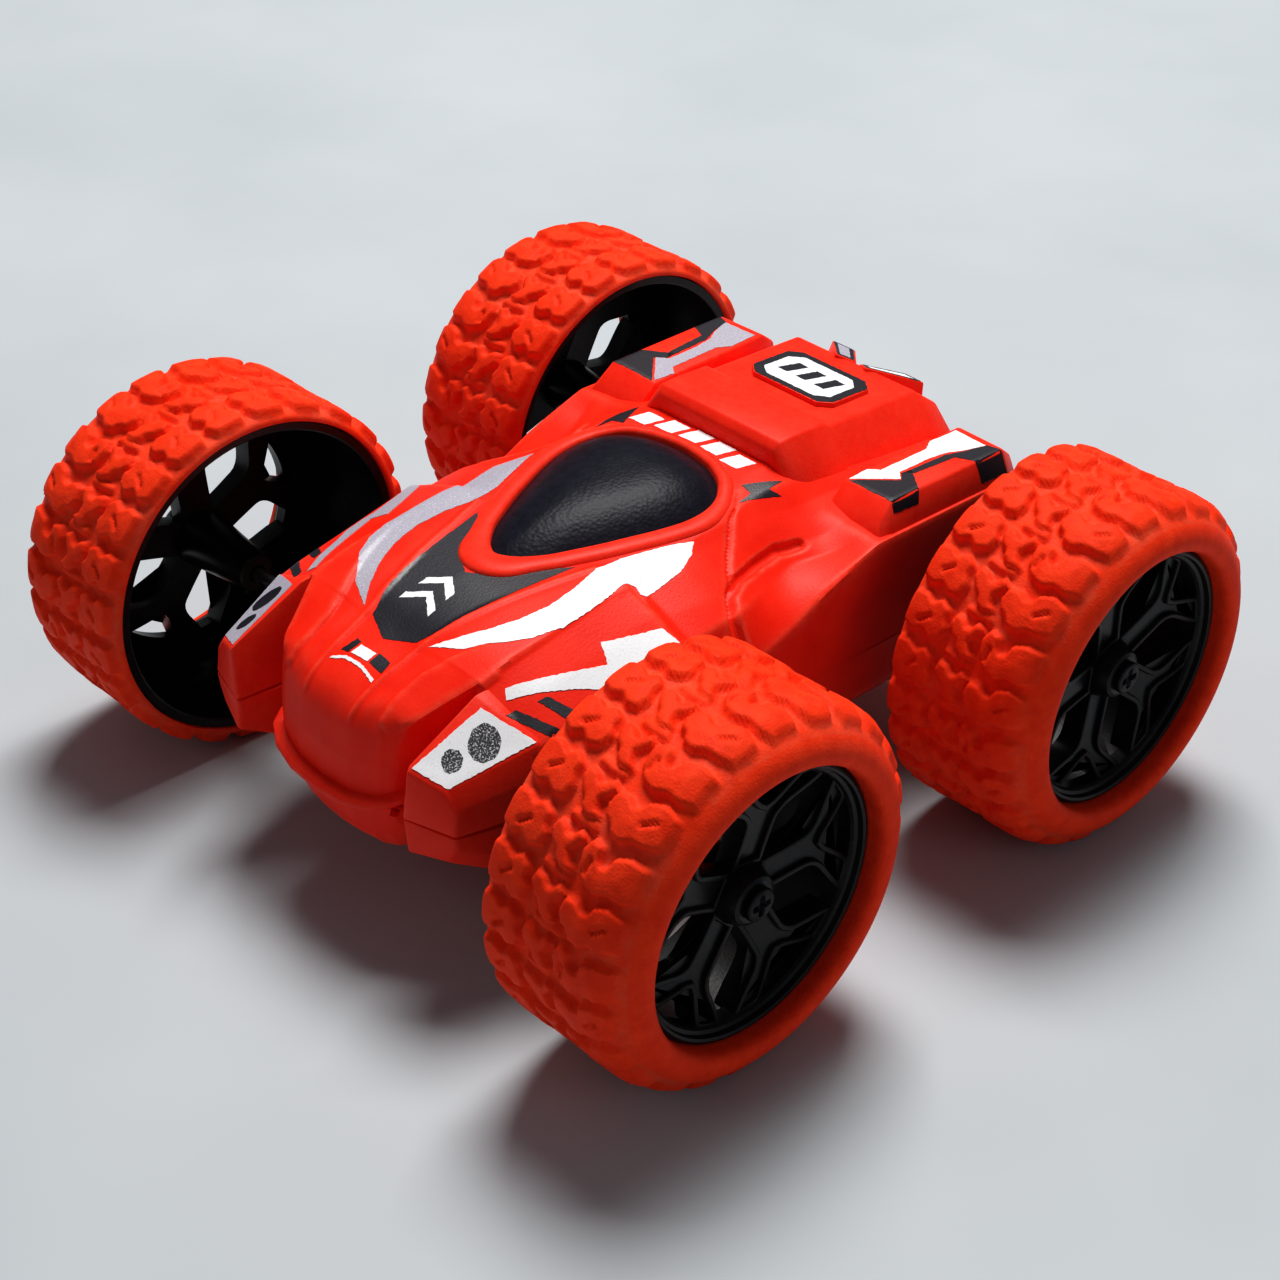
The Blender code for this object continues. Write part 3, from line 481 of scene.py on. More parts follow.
# ---------------------------------------------------------------- wheel centres
# Each wheel centre is one moulding in black plastic: a deep open barrel, a thin rim and five Y-shaped
# spokes with raised edges, dished towards a boss that is pressed on the axle and held by a screw.
SPOKES = 5
SPOKE_TURN = {"front_left": 8, "rear_left": 34, "front_right": 22, "rear_right": 58}
SPOKE_BACK = 5.0
RIM_RADIUS = 21.0
SPOKE_FRONT = 9.2
SPOKE_DISH = 2.9
BARREL = ((-13.6, 27.6), (8.9, 27.6), (8.9, 22.3), (10.5, 22.3), (10.9, 22.1), (11.0, 21.7), (10.8, 21.3),
    (10.0, 21.1), (9.7, 20.6), (9.2, 20.3), (6.9, 20.2), (6.9, 26.0), (-13.4, 26.1), (-13.6, 26.4))
BOSS = ((9.4, 1.6), (9.9, 1.9), (10.0, 3.3), (9.7, 3.9), (8.9, 4.3), (6.0, 5.3), (-11.6, 3.3), (-12.0, 3.0),
    (-12.0, 1.6))
SPOKE_SIDE = ((3.05, 4.2), (3.0, 8.0), (3.1, 12.6), (4.4, 14.0), (8.4, 15.9), (11.3, 17.6), (9.6, 18.8),
    (6.3, 20.1), (4.0, 18.2), (1.2, 15.7))
BARREL_COLUMNS = 24
BOSS_COLUMNS = 10
SPOKE_CORNER = math.radians(28)


def offset_outline(outline, distance):
    """A closed outline moved inwards by a distance; the outline runs anticlockwise."""
    moved = []
    count = len(outline)
    for i, (x, y) in enumerate(outline):
        (ax, ay), (bx, by) = outline[i - 1], outline[(i + 1) % count]
        before = Vector((x - ax, y - ay)).normalized()
        after = Vector((bx - x, by - y)).normalized()
        inward = Vector((-before.y - after.y, before.x + after.x))
        inward = inward.normalized() if inward.length > 1e-6 else Vector((-before.y, before.x))
        spread = max(0.45, inward.dot(Vector((-before.y, before.x))))
        moved.append((x + inward.x * distance / spread, y + inward.y * distance / spread))
    return moved


def stack_rings(bm, rings):
    """Joins rings of the same number of 3-D points, in mm, into a closed body."""
    loops = [[bm.verts.new(Vector(p) * MM) for p in ring] for ring in rings]
    count = len(loops[0])
    for a, b in zip(loops, loops[1:]):
        for i in range(count):
            j = (i + 1) % count
            bm.faces.new((a[i], a[j], b[j], b[i]))
    bm.faces.new(list(reversed(loops[0])))
    bm.faces.new(loops[-1])


def mesh_from(bm, name):
    """Turns finished bmesh work into a mesh and frees it."""
    mesh = bpy.data.meshes.new(name)
    bm.to_mesh(mesh)
    bm.free()
    return mesh


def turned_sector(bm, profile, half, columns):
    """Sweeps a closed profile (x, radius) round the X axis, to half the sector's angle on both sides."""
    rows = []
    for i in range(columns + 1):
        angle = -half + 2 * half * i / columns
        rows.append([bm.verts.new((x * MM, r * math.cos(angle) * MM, r * math.sin(angle) * MM))
                     for x, r in profile])
    count = len(profile)
    for a, b in zip(rows, rows[1:]):
        for j in range(count):
            k = (j + 1) % count
            bm.faces.new((a[j], a[k], b[k], b[j]))


def spoke_face(radius):
    """How far out the spokes' front stands at a radius: they are dished towards the boss."""
    return SPOKE_FRONT - SPOKE_DISH * max(0.0, 1 - radius / RIM_RADIUS) ** 1.4


bm = bmesh.new()
half = math.pi / SPOKES
turned_sector(bm, BARREL, half, BARREL_COLUMNS)
turned_sector(bm, BOSS, half, BOSS_COLUMNS)
side_line = rounded_line(resample(SPOKE_SIDE, 0.9), 1)
outline = [(t, r) for t, r in side_line] + [(0.0, 15.1)] + [(-t, r) for t, r in reversed(side_line)]
# the rings of a spoke from its back to its shallow middle: (drop behind the front, inset)
levels = ((None, 0.0), (0.45, 0.0), (0.12, 0.10), (0.0, 0.34), (0.0, 0.74), (0.14, 0.92), (0.75, 1.05))
rings = []
for drop, inset in levels:
    ring = offset_outline(outline, inset)
    rings.append([(SPOKE_BACK + 0.6 * spoke_face(math.hypot(t, r)) - 5.5 if drop is None
                   else spoke_face(math.hypot(t, r)) - drop, r, t) for t, r in ring])
stack_rings(bm, rings)
bmesh.ops.recalc_face_normals(bm, faces=bm.faces)
hub_mesh = mesh_from(bm, "hub_sector")
hub_sector = bpy.data.objects.new("hub_sector", hub_mesh)
bpy.context.collection.objects.link(hub_sector)

black_moulding, tree, shader = new_finish("black_moulded_plastic")
texture = use_group(tree, grain, Fine_scale=1800.0, Coarse_scale=260.0)
tone = ramp(tree, texture.outputs["Patches"], ((0.3, (0.0025, 0.003, 0.004)), (0.75, (0.007, 0.008, 0.010))))
film = use_group(tree, dust, Scale=1400.0, Cover=0.05, Where=1.0)
tree.links.new(blend_colour(tree, film.outputs["Mask"], tone, (0.30, 0.25, 0.19)),
               shader.inputs["Base Color"])
vary_roughness(tree, shader, texture.outputs["Patches"], 0.26, 0.42)
shader.inputs["Specular IOR Level"].default_value = 0.2
add_bump(tree, shader, texture.outputs["Height"], 0.12, 0.0002)

hub_tree = repeat_round_axle("spokes_round_axle", black_moulding)
for place in PLACES:
    mesh = run_nodes(hub_sector, hub_tree, {"Copies": SPOKES, "Start angle": math.radians(SPOKE_TURN[place])})
    mesh = place_wheel_mesh(mesh, place)
    mesh.set_sharp_from_angle(angle=SPOKE_CORNER)
    add_piece(f"wheel_centre_{place}", mesh, f"wheel_{place}", f"hub_{place}", slot="hub_black")
bpy.data.objects.remove(hub_sector)


# ---------------------------------------------------------------- upper body shell
# The upper half of the body is one thin red moulding: a low nose between two lamp pods, a hood that rises
# to the canopy's collar, flat arches beside the front wheels, and an engine cover between two rear wings.
# It is screwed to the lower half from below, and a fine parting line runs all round between them.
SIDES = (("left", 1), ("right", -1))
CANOPY_SEAT = 1.5
RIDGE_RISE = 0.32
LOBE_RISE = 0.55
DOOR_GROOVE_DEPTH = 0.55
SIDE_GROOVE_DEPTH = 0.95
CORNER_ANGLE = math.radians(40)
SHELL_WALL = 1.6
INNER_COARSE = 3
# how sharp a bend counts as fully exposed for the lighter edge red, which is partly wear and partly a painted
# highlight
FULL_WEAR_AND_HIGHLIGHT_BEND = 0.16
BEVEL_SEGMENTS = 2
# feature lines of the left half, row by row from the nose's lower edge to the tail; each row runs from the
# middle outwards and down to the parting line, as (x, y, z)
SHELL_NET = (
    ((0, -64.8, 26), (5.8, -64.5, 26), (8.6, -64.0, 26), (11.2, -63.3, 26), (12.8, -62.4, 26),
        (13.1, -62.1, 26), (13.2, -62.0, 26), (13.3, -61.9, 26), (13.4, -61.8, 26)),
    ((0, -64.9, 32.0), (5.6, -64.5, 32.0), (8.8, -63.9, 32.2), (11.4, -63.2, 32.4), (13.1, -62.3, 32.4),
        (13.5, -61.9, 31), (13.6, -61.7, 29.5), (13.6, -61.6, 28), (13.6, -61.4, 26)),
    ((0, -64.0, 37.3), (5.5, -63.9, 37.2), (8.8, -63.2, 37.6), (11.4, -62.6, 38.0), (14.0, -61.2, 37.8),
        (14.4, -60.6, 35.5), (14.4, -60.4, 32.5), (14.3, -60.3, 29.5), (14.2, -60.1, 26)),
    ((0, -62.0, 41.0), (5.4, -62.1, 40.6), (8.2, -61.4, 41.4), (9.9, -60.7, 41.8), (15.0, -59.8, 40.8),
        (15.2, -59.2, 37.5), (15.1, -59.0, 34), (15.0, -58.8, 30), (14.8, -58.6, 26)),
    ((0, -57.9, 43.7), (5.7, -57.5, 43.5), (8.6, -57.0, 43.9), (10.4, -56.6, 44.0), (16.9, -55.8, 43.3),
        (16.6, -55.6, 39.5), (16.2, -55.5, 35), (16.0, -55.4, 30), (15.8, -55.4, 26)),
    ((0, -51.6, 45.9), (6.1, -51.2, 46.0), (9.2, -51.0, 46.4), (11.8, -50.9, 46.5), (19.5, -50.6, 46.3),
        (18.4, -50.5, 41), (17.8, -50.5, 36), (17.5, -50.5, 31), (17.4, -50.5, 26)),
    ((0, -50.2, 46.4), (6.2, -50.2, 46.5), (9.4, -50.2, 46.8), (12.2, -50.2, 46.9), (19.7, -50.2, 46.5),
        (25.4, -50.2, 43.2), (30.9, -50.2, 40.3), (32.5, -50.2, 36), (32.9, -50.2, 30)),
    ((0, -45.0, 48.5), (6.9, -45.0, 48.6), (10.6, -45.0, 48.7), (14.8, -45.0, 48.6), (20.0, -45.0, 48.1),
        (25.8, -45.0, 45.0), (31.3, -45.0, 41.6), (33.1, -45.0, 36.5), (33.3, -45.0, 30)),
    ((0, -36.0, 50.7), (9.0, -36.0, 50.5), (12.0, -36.0, 50.5), (18.4, -36.0, 50.0), (20.1, -36.0, 49.6),
        (26.0, -36.0, 46.6), (31.6, -36.0, 43.3), (33.5, -36.0, 37.2), (33.6, -36.0, 30)),
    ((0, -28.0, 51.4), (11.2, -28.0, 51.3), (14.0, -28.0, 51.3), (18.9, -28.0, 51.0), (20.0, -28.0, 50.8),
        (26.0, -28.0, 48.0), (31.8, -28.0, 44.9), (33.9, -28.0, 38.0), (33.9, -28.0, 30)),
    ((0, -21.2, 51.9), (12.8, -21.2, 51.8), (15.0, -21.2, 51.9), (18.4, -21.2, 51.9), (19.8, -21.2, 51.7),
        (26.0, -21.2, 49.3), (31.8, -21.2, 46.5), (34.3, -21.2, 38.8), (34.2, -21.2, 30)),
    ((0, -18.6, 52.1), (13.2, -18.6, 52.0), (15.4, -18.6, 51.8), (17.9, -18.6, 51.0), (19.9, -18.6, 49.9),
        (26.0, -18.6, 47.6), (31.2, -18.6, 45.3), (34.3, -18.6, 39.0), (34.3, -18.6, 30)),
    ((0, -10.0, 52.8), (15.4, -10.0, 52.6), (17.6, -10.0, 52.3), (19.6, -10.0, 51.5), (22.6, -10.0, 50.3),
        (27.5, -10.0, 48.1), (31.2, -10.0, 46.0), (34.9, -10.0, 38.4), (34.6, -10.0, 30)),
    ((0, 0.0, 53.7), (16.8, 0.0, 53.4), (18.4, 0.0, 52.8), (20.0, 0.0, 51.6), (22.4, 0.0, 50.0),
        (25.4, 0.0, 48.0), (28.7, 0.0, 46.0), (35.0, 0.0, 41.2), (35.0, 0.0, 30)),
    ((0, 8.0, 54.4), (14.6, 8.0, 54.2), (17.2, 8.0, 53.6), (19.4, 8.0, 52.0), (21.4, 8.0, 50.6),
        (23.8, 8.0, 48.6), (27.0, 8.0, 46.2), (35.0, 8.0, 45.1), (35.3, 8.0, 30)),
    ((0, 14.4, 54.8), (12.6, 14.4, 54.7), (17.0, 14.4, 54.0), (20.4, 14.4, 51.4), (22.8, 14.4, 50.0),
        (25.8, 14.4, 48.2), (29.2, 14.4, 47.0), (35.0, 14.4, 47.4), (35.5, 14.4, 30)),
    ((0, 19.8, 54.9), (12.6, 19.8, 54.8), (17.0, 19.8, 53.2), (20.6, 19.8, 51.0), (23.2, 19.8, 50.2),
        (27.0, 19.8, 49.4), (31.0, 19.8, 49.2), (35.0, 19.8, 49.0), (35.5, 19.8, 30)),
    ((0, 50.0, 52.2), (12.6, 50.0, 52.2), (17.0, 50.0, 51.0), (20.6, 50.0, 50.0), (23.2, 50.0, 49.8),
        (27.0, 50.0, 49.4), (31.4, 50.0, 49.2), (35.0, 50.0, 48.4), (35.5, 50.0, 30)),
    ((0, 57.0, 50.6), (12.6, 57.0, 50.4), (17.0, 57.0, 49.2), (20.2, 57.0, 48.2), (23.0, 57.0, 47.6),
        (26.4, 57.0, 46.6), (30.2, 57.0, 45.4), (33.6, 57.0, 42.0), (34.4, 57.0, 30)),
    ((0, 59.2, 48.0), (12.0, 59.2, 48.0), (16.4, 59.2, 47.0), (19.6, 59.2, 46.2), (22.4, 59.2, 45.4),
        (25.6, 59.2, 44.4), (29.2, 59.2, 43.0), (32.2, 59.2, 39.0), (33.4, 59.2, 30)),
    ((0, 59.5, 30), (12.0, 59.5, 30), (16.4, 59.5, 30), (19.6, 59.5, 30), (22.4, 59.5, 30),
        (25.6, 59.5, 30), (29.2, 59.5, 30), (32.2, 59.4, 30), (33.4, 59.3, 30)))
SHELL_SMOOTH_ROWS = ((1, 5), (6, 10), (11, 16))
SHELL_ROW_STEP = 0.52
SHELL_COLUMNS = (24, 8, 10, 12, 12, 11, 14, 12)
CANOPY_OUTLINE = ((0, -30.6), (3.3, -28.9), (6.5, -25.1), (10.2, -17.4), (13.4, -9.2), (14.8, -4.2),
    (15.1, 0.2), (14.0, 4.4), (11.0, 7.9), (6.4, 10.1), (0, 11.0))
COLLAR_OUTLINE = ((0, -35.8), (4.4, -33.0), (7.0, -29.6), (9.4, -25.2), (13.2, -17.0), (16.6, -8.6),
    (18.2, -3.0), (18.2, 1.4), (16.6, 5.2), (13.0, 9.6), (7.7, 12.7), (0, 14.0))
BAND_RIDGE = ((5.4, -63.0), (5.8, -57.0), (6.5, -50.0), (8.0, -43.0), (9.9, -36.0), (11.6, -29.0),
              (13.6, -22.0))
LOBE_LINE = ((10.4, -62.0), (10.2, -58.0), (10.6, -54.0), (12.3, -49.7), (15.8, -43.0), (18.2, -36.4),
    (19.6, -30.0), (19.9, -21.0))
DOOR_LINE = ((14.6, 8.0), (18.6, 2.6), (23.4, -2.7), (29.0, -7.6), (33.7, -11.5), (35.5, -12.6))
SIDE_GROOVE = ((36.0, -9.4), (31.0, -8.8), (28.0, -6.6), (26.2, -2.8), (25.0, 2.4), (24.4, 7.4), (25.4, 11.6))


def mirrored(outline):
    """A half outline, from the front middle to the rear middle, closed by its mirror image."""
    return list(outline) + [(-x, y) for x, y in reversed(outline[1:-1])]


def smooth_through(values, places):
    """Smooth interpolation through rows of values at whole-number places, without overshoot."""
    slopes = np.diff(values, axis=0)
    tangents = np.zeros_like(values)
    ahead, behind = slopes[1:], slopes[:-1]
    same = ahead * behind > 0
    tangents[1:-1] = np.where(same, 2 * ahead * behind / np.where(same, ahead + behind, 1.0), 0)
    tangents[0], tangents[-1] = slopes[0], slopes[-1]
    low = np.clip(np.floor(places).astype(int), 0, len(values) - 2)
    t = (places - low)[:, None, None]
    return ((1 + 2 * t) * (1 - t) ** 2 * values[low] + t * (1 - t) ** 2 * tangents[low]
            + t * t * (3 - 2 * t) * values[low + 1] + t * t * (t - 1) * tangents[low + 1])


def fill_net(net, smooth_rows, row_step, columns):
    """Turns a coarse net of feature lines into a fine grid of the whole width."""
    coarse = np.array(net, float)
    pieces = []
    row = 0
    while row < len(coarse) - 1:
        last = next((end for start, end in smooth_rows if start == row), row + 1)
        block = coarse[row:last + 1]
        measured = slice(None) if last == row + 1 else slice(5)
        lengths = [np.linalg.norm(b - a, axis=1)[measured].max() for a, b in zip(block, block[1:])]
        steps = [max(1, round(size / row_step)) for size in lengths]
        places = np.concatenate([i + np.arange(count) / count for i, count in enumerate(steps)])
        pieces.append(smooth_through(block, places) if len(block) > 2
                      else block[0] + (block[1] - block[0]) * places[:, None, None])
        row = last
    rows = np.concatenate(pieces + [coarse[-1:]])
    parts = [rows[:, k:k + 1] + (rows[:, k + 1:k + 2] - rows[:, k:k + 1]) * (np.arange(n) / n)[None, :, None]
             for k, n in enumerate(columns)]
    half_sheet = np.concatenate(parts + [rows[:, -1:]], axis=1)
    other = half_sheet[:, :0:-1] * np.array((-1.0, 1.0, 1.0))
    return np.concatenate([other, half_sheet], axis=1)


def grid_normals(grid):
    """The outward direction at each point of a grid."""
    across = np.gradient(grid, axis=1)
    along = np.gradient(grid, axis=0)
    normal = np.cross(across, along)
    size = np.linalg.norm(normal, axis=2, keepdims=True)
    return normal / np.maximum(size, 1e-9)


def soften(grid, passes, share=0.5):
    """Rounds creases by drawing points towards their neighbours, except at the border and at long jumps."""
    for _ in range(passes):
        inner = grid[1:-1, 1:-1]
        near = [grid[:-2, 1:-1], grid[2:, 1:-1], grid[1:-1, :-2], grid[1:-1, 2:]]
        far = np.max([np.linalg.norm(other - inner, axis=2) for other in near], axis=0)
        pull = (sum(near) / 4 - inner) * share * (far < 1.7)[..., None]
        grid[1:-1, 1:-1] = inner + pull
    return grid


def sheet_mesh(name, grid, wall):
    """A closed thin-walled mesh: the grid outside, a coarser copy of it inside, joined round the border."""
    normals = grid_normals(grid)
    rows, cols = grid.shape[:2]
    row_picks = list(range(0, rows, INNER_COARSE))
    col_picks = list(range(0, cols, INNER_COARSE))
    if row_picks[-1] != rows - 1:
        row_picks.append(rows - 1)
    if col_picks[-1] != cols - 1:
        col_picks.append(cols - 1)
    inner = grid[np.ix_(row_picks, col_picks)] - wall * normals[np.ix_(row_picks, col_picks)]
    edge_z = grid[np.ix_(row_picks, col_picks)][..., 2]
    for block in (np.s_[0, :], np.s_[-1, :], np.s_[:, 0], np.s_[:, -1]):
        inner[block][..., 2] = edge_z[block]
    verts = np.concatenate([grid.reshape(-1, 3), inner.reshape(-1, 3)]) * MM
    a = np.arange(rows * cols).reshape(rows, cols)
    b = np.arange(len(row_picks) * len(col_picks)).reshape(len(row_picks), len(col_picks)) + rows * cols
    faces = np.stack([a[:-1, :-1], a[:-1, 1:], a[1:, 1:], a[1:, :-1]], -1).reshape(-1, 4).tolist()
    faces += np.stack([b[:-1, :-1], b[1:, :-1], b[1:, 1:], b[:-1, 1:]], -1).reshape(-1, 4).tolist()
    for k, (start, end) in enumerate(zip(row_picks, row_picks[1:])):
        faces.append([b[k, 0]] + a[start:end + 1, 0].tolist() + [b[k + 1, 0]])
        faces.append([b[k + 1, -1]] + a[start:end + 1, -1].tolist()[::-1] + [b[k, -1]])
    for k, (start, end) in enumerate(zip(col_picks, col_picks[1:])):
        faces.append([b[0, k + 1]] + a[0, start:end + 1].tolist()[::-1] + [b[0, k]])
        faces.append([b[-1, k]] + a[-1, start:end + 1].tolist() + [b[-1, k + 1]])
    mesh = bpy.data.meshes.new(name)
    mesh.from_pydata(verts.tolist(), [], faces)
    # the edge value: how far each point bulges out; outer corners get a lighter red from it, partly as wear
    # and partly as a painted highlight
    lap = np.zeros(grid.shape[:2])
    for reach in (1, 2):
        core = grid[reach:-reach, reach:-reach]
        mean = (grid[:-2 * reach, reach:-reach] + grid[2 * reach:, reach:-reach]
                + grid[reach:-reach, :-2 * reach] + grid[reach:-reach, 2 * reach:]) / 4
        bend = np.sum((core - mean) * normals[reach:-reach, reach:-reach], axis=2)
        lap[reach:-reach, reach:-reach] += bend
    edge = np.clip(lap / FULL_WEAR_AND_HIGHLIGHT_BEND, 0, 1)
    values = np.concatenate([edge.ravel(), np.zeros(inner.shape[0] * inner.shape[1])])
    mesh.attributes.new("edge", "FLOAT", "POINT").data.foreach_set("value", values)
    return mesh


shell_grid = fill_net(SHELL_NET, SHELL_SMOOTH_ROWS, SHELL_ROW_STEP, SHELL_COLUMNS)
shell_grid = soften(shell_grid, 2)
x, y = np.abs(shell_grid[..., 0]), shell_grid[..., 1]
on_top = eased(0.25, 0.6, grid_normals(shell_grid)[..., 2])
canopy_gap = outline_distance(shell_grid[..., 0], y, mirrored(CANOPY_OUTLINE))
collar_gap = outline_distance(shell_grid[..., 0], y, mirrored(COLLAR_OUTLINE))
lift = -CANOPY_SEAT * (1 - eased(0.1, 0.7, canopy_gap))
hood = (y < -19.0) * on_top
lift += hood * RIDGE_RISE * (1 - eased(0.15, 0.75, line_distance(x, y, BAND_RIDGE))) * (collar_gap > 0.4)
lobe_area = LOBE_LINE + ((30.0, -21.0), (30.0, -62.0))
lobe_gap = outline_distance(x, y, lobe_area)
lift += hood * LOBE_RISE * (1 - eased(-0.4, 0.2, lobe_gap)) * (x < 20.4) * (1 - eased(-50.0, -30.0, y) * 0.8)
lift -= DOOR_GROOVE_DEPTH * (1 - eased(0.15, 0.5, line_distance(x, y, DOOR_LINE))) * (collar_gap > 0.3)
lift -= SIDE_GROOVE_DEPTH * (1 - eased(0.35, 1.05, line_distance(x, y, SIDE_GROOVE)))
shell_grid += grid_normals(shell_grid) * lift[..., None]
shell_grid = soften(shell_grid, 1, 0.4)
shell_mesh = sheet_mesh("upper_body", shell_grid, SHELL_WALL)


def faceted_body(rings, bevel, angle=20.0):
    """A closed body lofted through rings of 3-D points in mm, with its edges rounded."""
    bm = bmesh.new()
    stack_rings(bm, rings)
    bmesh.ops.recalc_face_normals(bm, faces=bm.faces)
    mesh = mesh_from(bm, "faceted")
    body = bpy.data.objects.new("faceted", mesh)
    bpy.context.collection.objects.link(body)
    rounding = body.modifiers.new("rounding", "BEVEL")
    rounding.width = bevel * MM
    rounding.segments = BEVEL_SEGMENTS
    rounding.limit_method = "ANGLE"
    rounding.angle_limit = math.radians(angle)
    rounding.harden_normals = False
    bpy.context.view_layer.update()
    made = bpy.data.meshes.new_from_object(body.evaluated_get(bpy.context.evaluated_depsgraph_get()))
    bpy.data.objects.remove(body)
    return made


def mark_edges(mesh):
    """Stores how exposed each point is: 1 on outer corners, 0 on flat and hollow places."""
    bm = bmesh.new()
    bm.from_mesh(mesh)
    layer = bm.verts.layers.float.new("edge")
    bm.normal_update()
    for vert in bm.verts:
        turns = [e.calc_face_angle_signed(0.0) for e in vert.link_edges]
        vert[layer] = min(1.0, max(0.0, max(turns, default=0.0) / math.radians(60)))
    bm.to_mesh(mesh)
    bm.free()


def mirrored_rings(rings, side):
    """The same rings for the left side (1) or the right side (-1)."""
    return [[(side * x, y, z) for x, y, z in ring] for ring in rings]


def joined(name, meshes):
    """One mesh that holds several; their edge values stay with them."""
    bm = bmesh.new()
    for mesh in meshes:
        bm.from_mesh(mesh)
    made = mesh_from(bm, name)
    return made


# lamp pods, engine cover and plate, wings and tail fins: blocks set into the shell, as rings of points
POD = (
    ((20.3, -65.9, 30.1), (21.2, -65.6, 38.9), (26.7, -63.4, 36.9), (28.7, -62.9, 34.2),
        (28.9, -63.3, 30.1)),
    ((19.9, -65.2, 30.1), (20.9, -64.9, 39.7), (26.9, -62.6, 37.4), (29.1, -62.2, 34.6),
        (29.3, -62.6, 30.1)),
    ((18.7, -50.6, 30.1), (20.6, -52.0, 45.9), (31.0, -48.8, 41.1), (32.6, -48.6, 36.2),
        (32.9, -48.6, 30.1)),
    ((18.9, -47.5, 30.1), (20.8, -47.5, 46.2), (30.0, -47.5, 41.2), (31.6, -47.5, 36.0),
        (31.8, -47.5, 30.1)))
ENGINE_COVER = (
    ((-18.8, 17.3, 50), (-13.2, 17.3, 57.6), (13.2, 17.3, 57.6), (18.8, 17.3, 50)),
    ((-19.6, 18.6, 49), (-13.6, 18.6, 59.0), (13.6, 18.6, 59.0), (19.6, 18.6, 49)),
    ((-20.4, 22.3, 49), (-13.6, 22.3, 59.1), (13.6, 22.3, 59.1), (20.4, 22.3, 49)),
    ((-20.4, 29.0, 49), (-13.6, 29.0, 58.7), (13.6, 29.0, 58.7), (20.4, 29.0, 49)),
    ((-20.4, 30.4, 49), (-13.6, 30.4, 57.6), (13.6, 30.4, 57.6), (20.4, 30.4, 49)),
    ((-20.2, 51.6, 49), (-13.4, 51.6, 56.8), (13.4, 51.6, 56.8), (20.2, 51.6, 49)),
    ((-18.6, 57.4, 48), (-14.0, 57.4, 52.6), (14.0, 57.4, 52.6), (18.6, 57.4, 48)))
WING = (
    ((21.6, 20.6, 48.0), (22.2, 22.4, 50.6), (32.6, 21.8, 50.6), (34.2, 20.6, 48.0)),
    ((21.4, 22.6, 47.5), (22.0, 25.4, 53.3), (32.2, 25.2, 53.7), (34.8, 23.4, 47.5)),
    ((21.6, 52.8, 47.5), (22.6, 52.8, 53.2), (32.8, 52.2, 53.4), (34.8, 52.8, 47.5)),
    ((22.2, 57.0, 46.0), (23.4, 56.4, 50.6), (31.4, 56.2, 50.4), (33.2, 56.8, 46.0)))
TAIL_FIN = (
    ((0.3, 51.6, 52.0), (0.3, 52.6, 56.4), (3.4, 50.4, 57.6), (4.6, 49.6, 52.0)),
    ((5.6, 57.9, 51.0), (5.8, 58.6, 54.6), (10.6, 57.9, 55.0), (11.4, 56.8, 51.0)))
COVER_PLATE = (
    ((-7.4, 34.0, 56.0), (-7.2, 34.0, 58.3), (7.2, 34.0, 58.3), (7.4, 34.0, 56.0)),
    ((-9.7, 36.0, 56.0), (-9.4, 36.0, 58.25), (9.4, 36.0, 58.25), (9.7, 36.0, 56.0)),
    ((-9.7, 44.6, 56.0), (-9.4, 44.6, 57.8), (9.4, 44.6, 57.8), (9.7, 44.6, 56.0)),
    ((-7.4, 46.6, 56.0), (-7.2, 46.6, 57.7), (7.2, 46.6, 57.7), (7.4, 46.6, 56.0)))
blocks = [faceted_body(ENGINE_COVER, 0.45), faceted_body(COVER_PLATE, 0.15)]
for _, side in SIDES:
    blocks.append(faceted_body(mirrored_rings(POD, side), 0.38))
    blocks.append(faceted_body(mirrored_rings(WING, side), 0.4))
    blocks.append(faceted_body(mirrored_rings(TAIL_FIN, side), 0.25))


def signed_area(outline):
    """An outline's area, positive when it runs anticlockwise."""
    return sum(a[0] * b[1] - b[0] * a[1] for a, b in zip(outline, outline[1:] + outline[:1])) / 2


def canopy_edge():
    """The canopy's outline as an evenly spaced closed loop with its outward directions."""
    loop = mirrored(CANOPY_OUTLINE)
    if signed_area(loop) < 0:
        loop = loop[::-1]
    points = np.array(rounded_line(resample(list(loop) + [loop[0]], 0.7), 3)[:-1])
    for _ in range(3):
        points = (np.roll(points, 1, 0) + 2 * points + np.roll(points, -1, 0)) / 4
    along = np.roll(points, -2, 0) - np.roll(points, 2, 0)
    along /= np.linalg.norm(along, axis=1, keepdims=True)
    return points, np.stack([along[:, 1], -along[:, 0]], axis=1)


# the collar round the canopy's seat, from its inner foot over its crown to its outer foot: (out, up)
COLLAR_SECTION = ((-0.5, -1.6), (-0.3, 0.35), (0.0, 0.8), (0.5, 0.98), (1.4, 1.0), (2.3, 0.85), (2.9, 0.5),
    (3.2, 0.0), (3.3, -1.2))
COLLAR_TIP = 1.9
COLLAR_REAR_SLIM = 0.3
COLLAR_WIDTH = 3.2
RAY_START = 0.09
shell_bm = bmesh.new()
shell_bm.from_mesh(shell_mesh)
bare_shell = BVHTree.FromBMesh(shell_bm)
shell_bm.free()
rim, outward = canopy_edge()
stretch = 1 + COLLAR_TIP / COLLAR_WIDTH * np.exp(-((rim[:, 1] - rim[:, 1].min()) / 2.6) ** 2)
stretch -= COLLAR_REAR_SLIM * eased(-2.0, 7.0, rim[:, 1])
DOWNWARD = Vector((0, 0, -1))
foot = (rim + outward * (COLLAR_WIDTH - 0.1)) * MM
deck_z = np.array([bare_shell.ray_cast(Vector((px, py, RAY_START)), DOWNWARD)[0].z / MM for px, py in foot])
for _ in range(12):
    deck_z = (np.roll(deck_z, 1) + 2 * deck_z + np.roll(deck_z, -1)) / 4
bm = bmesh.new()
loops = []
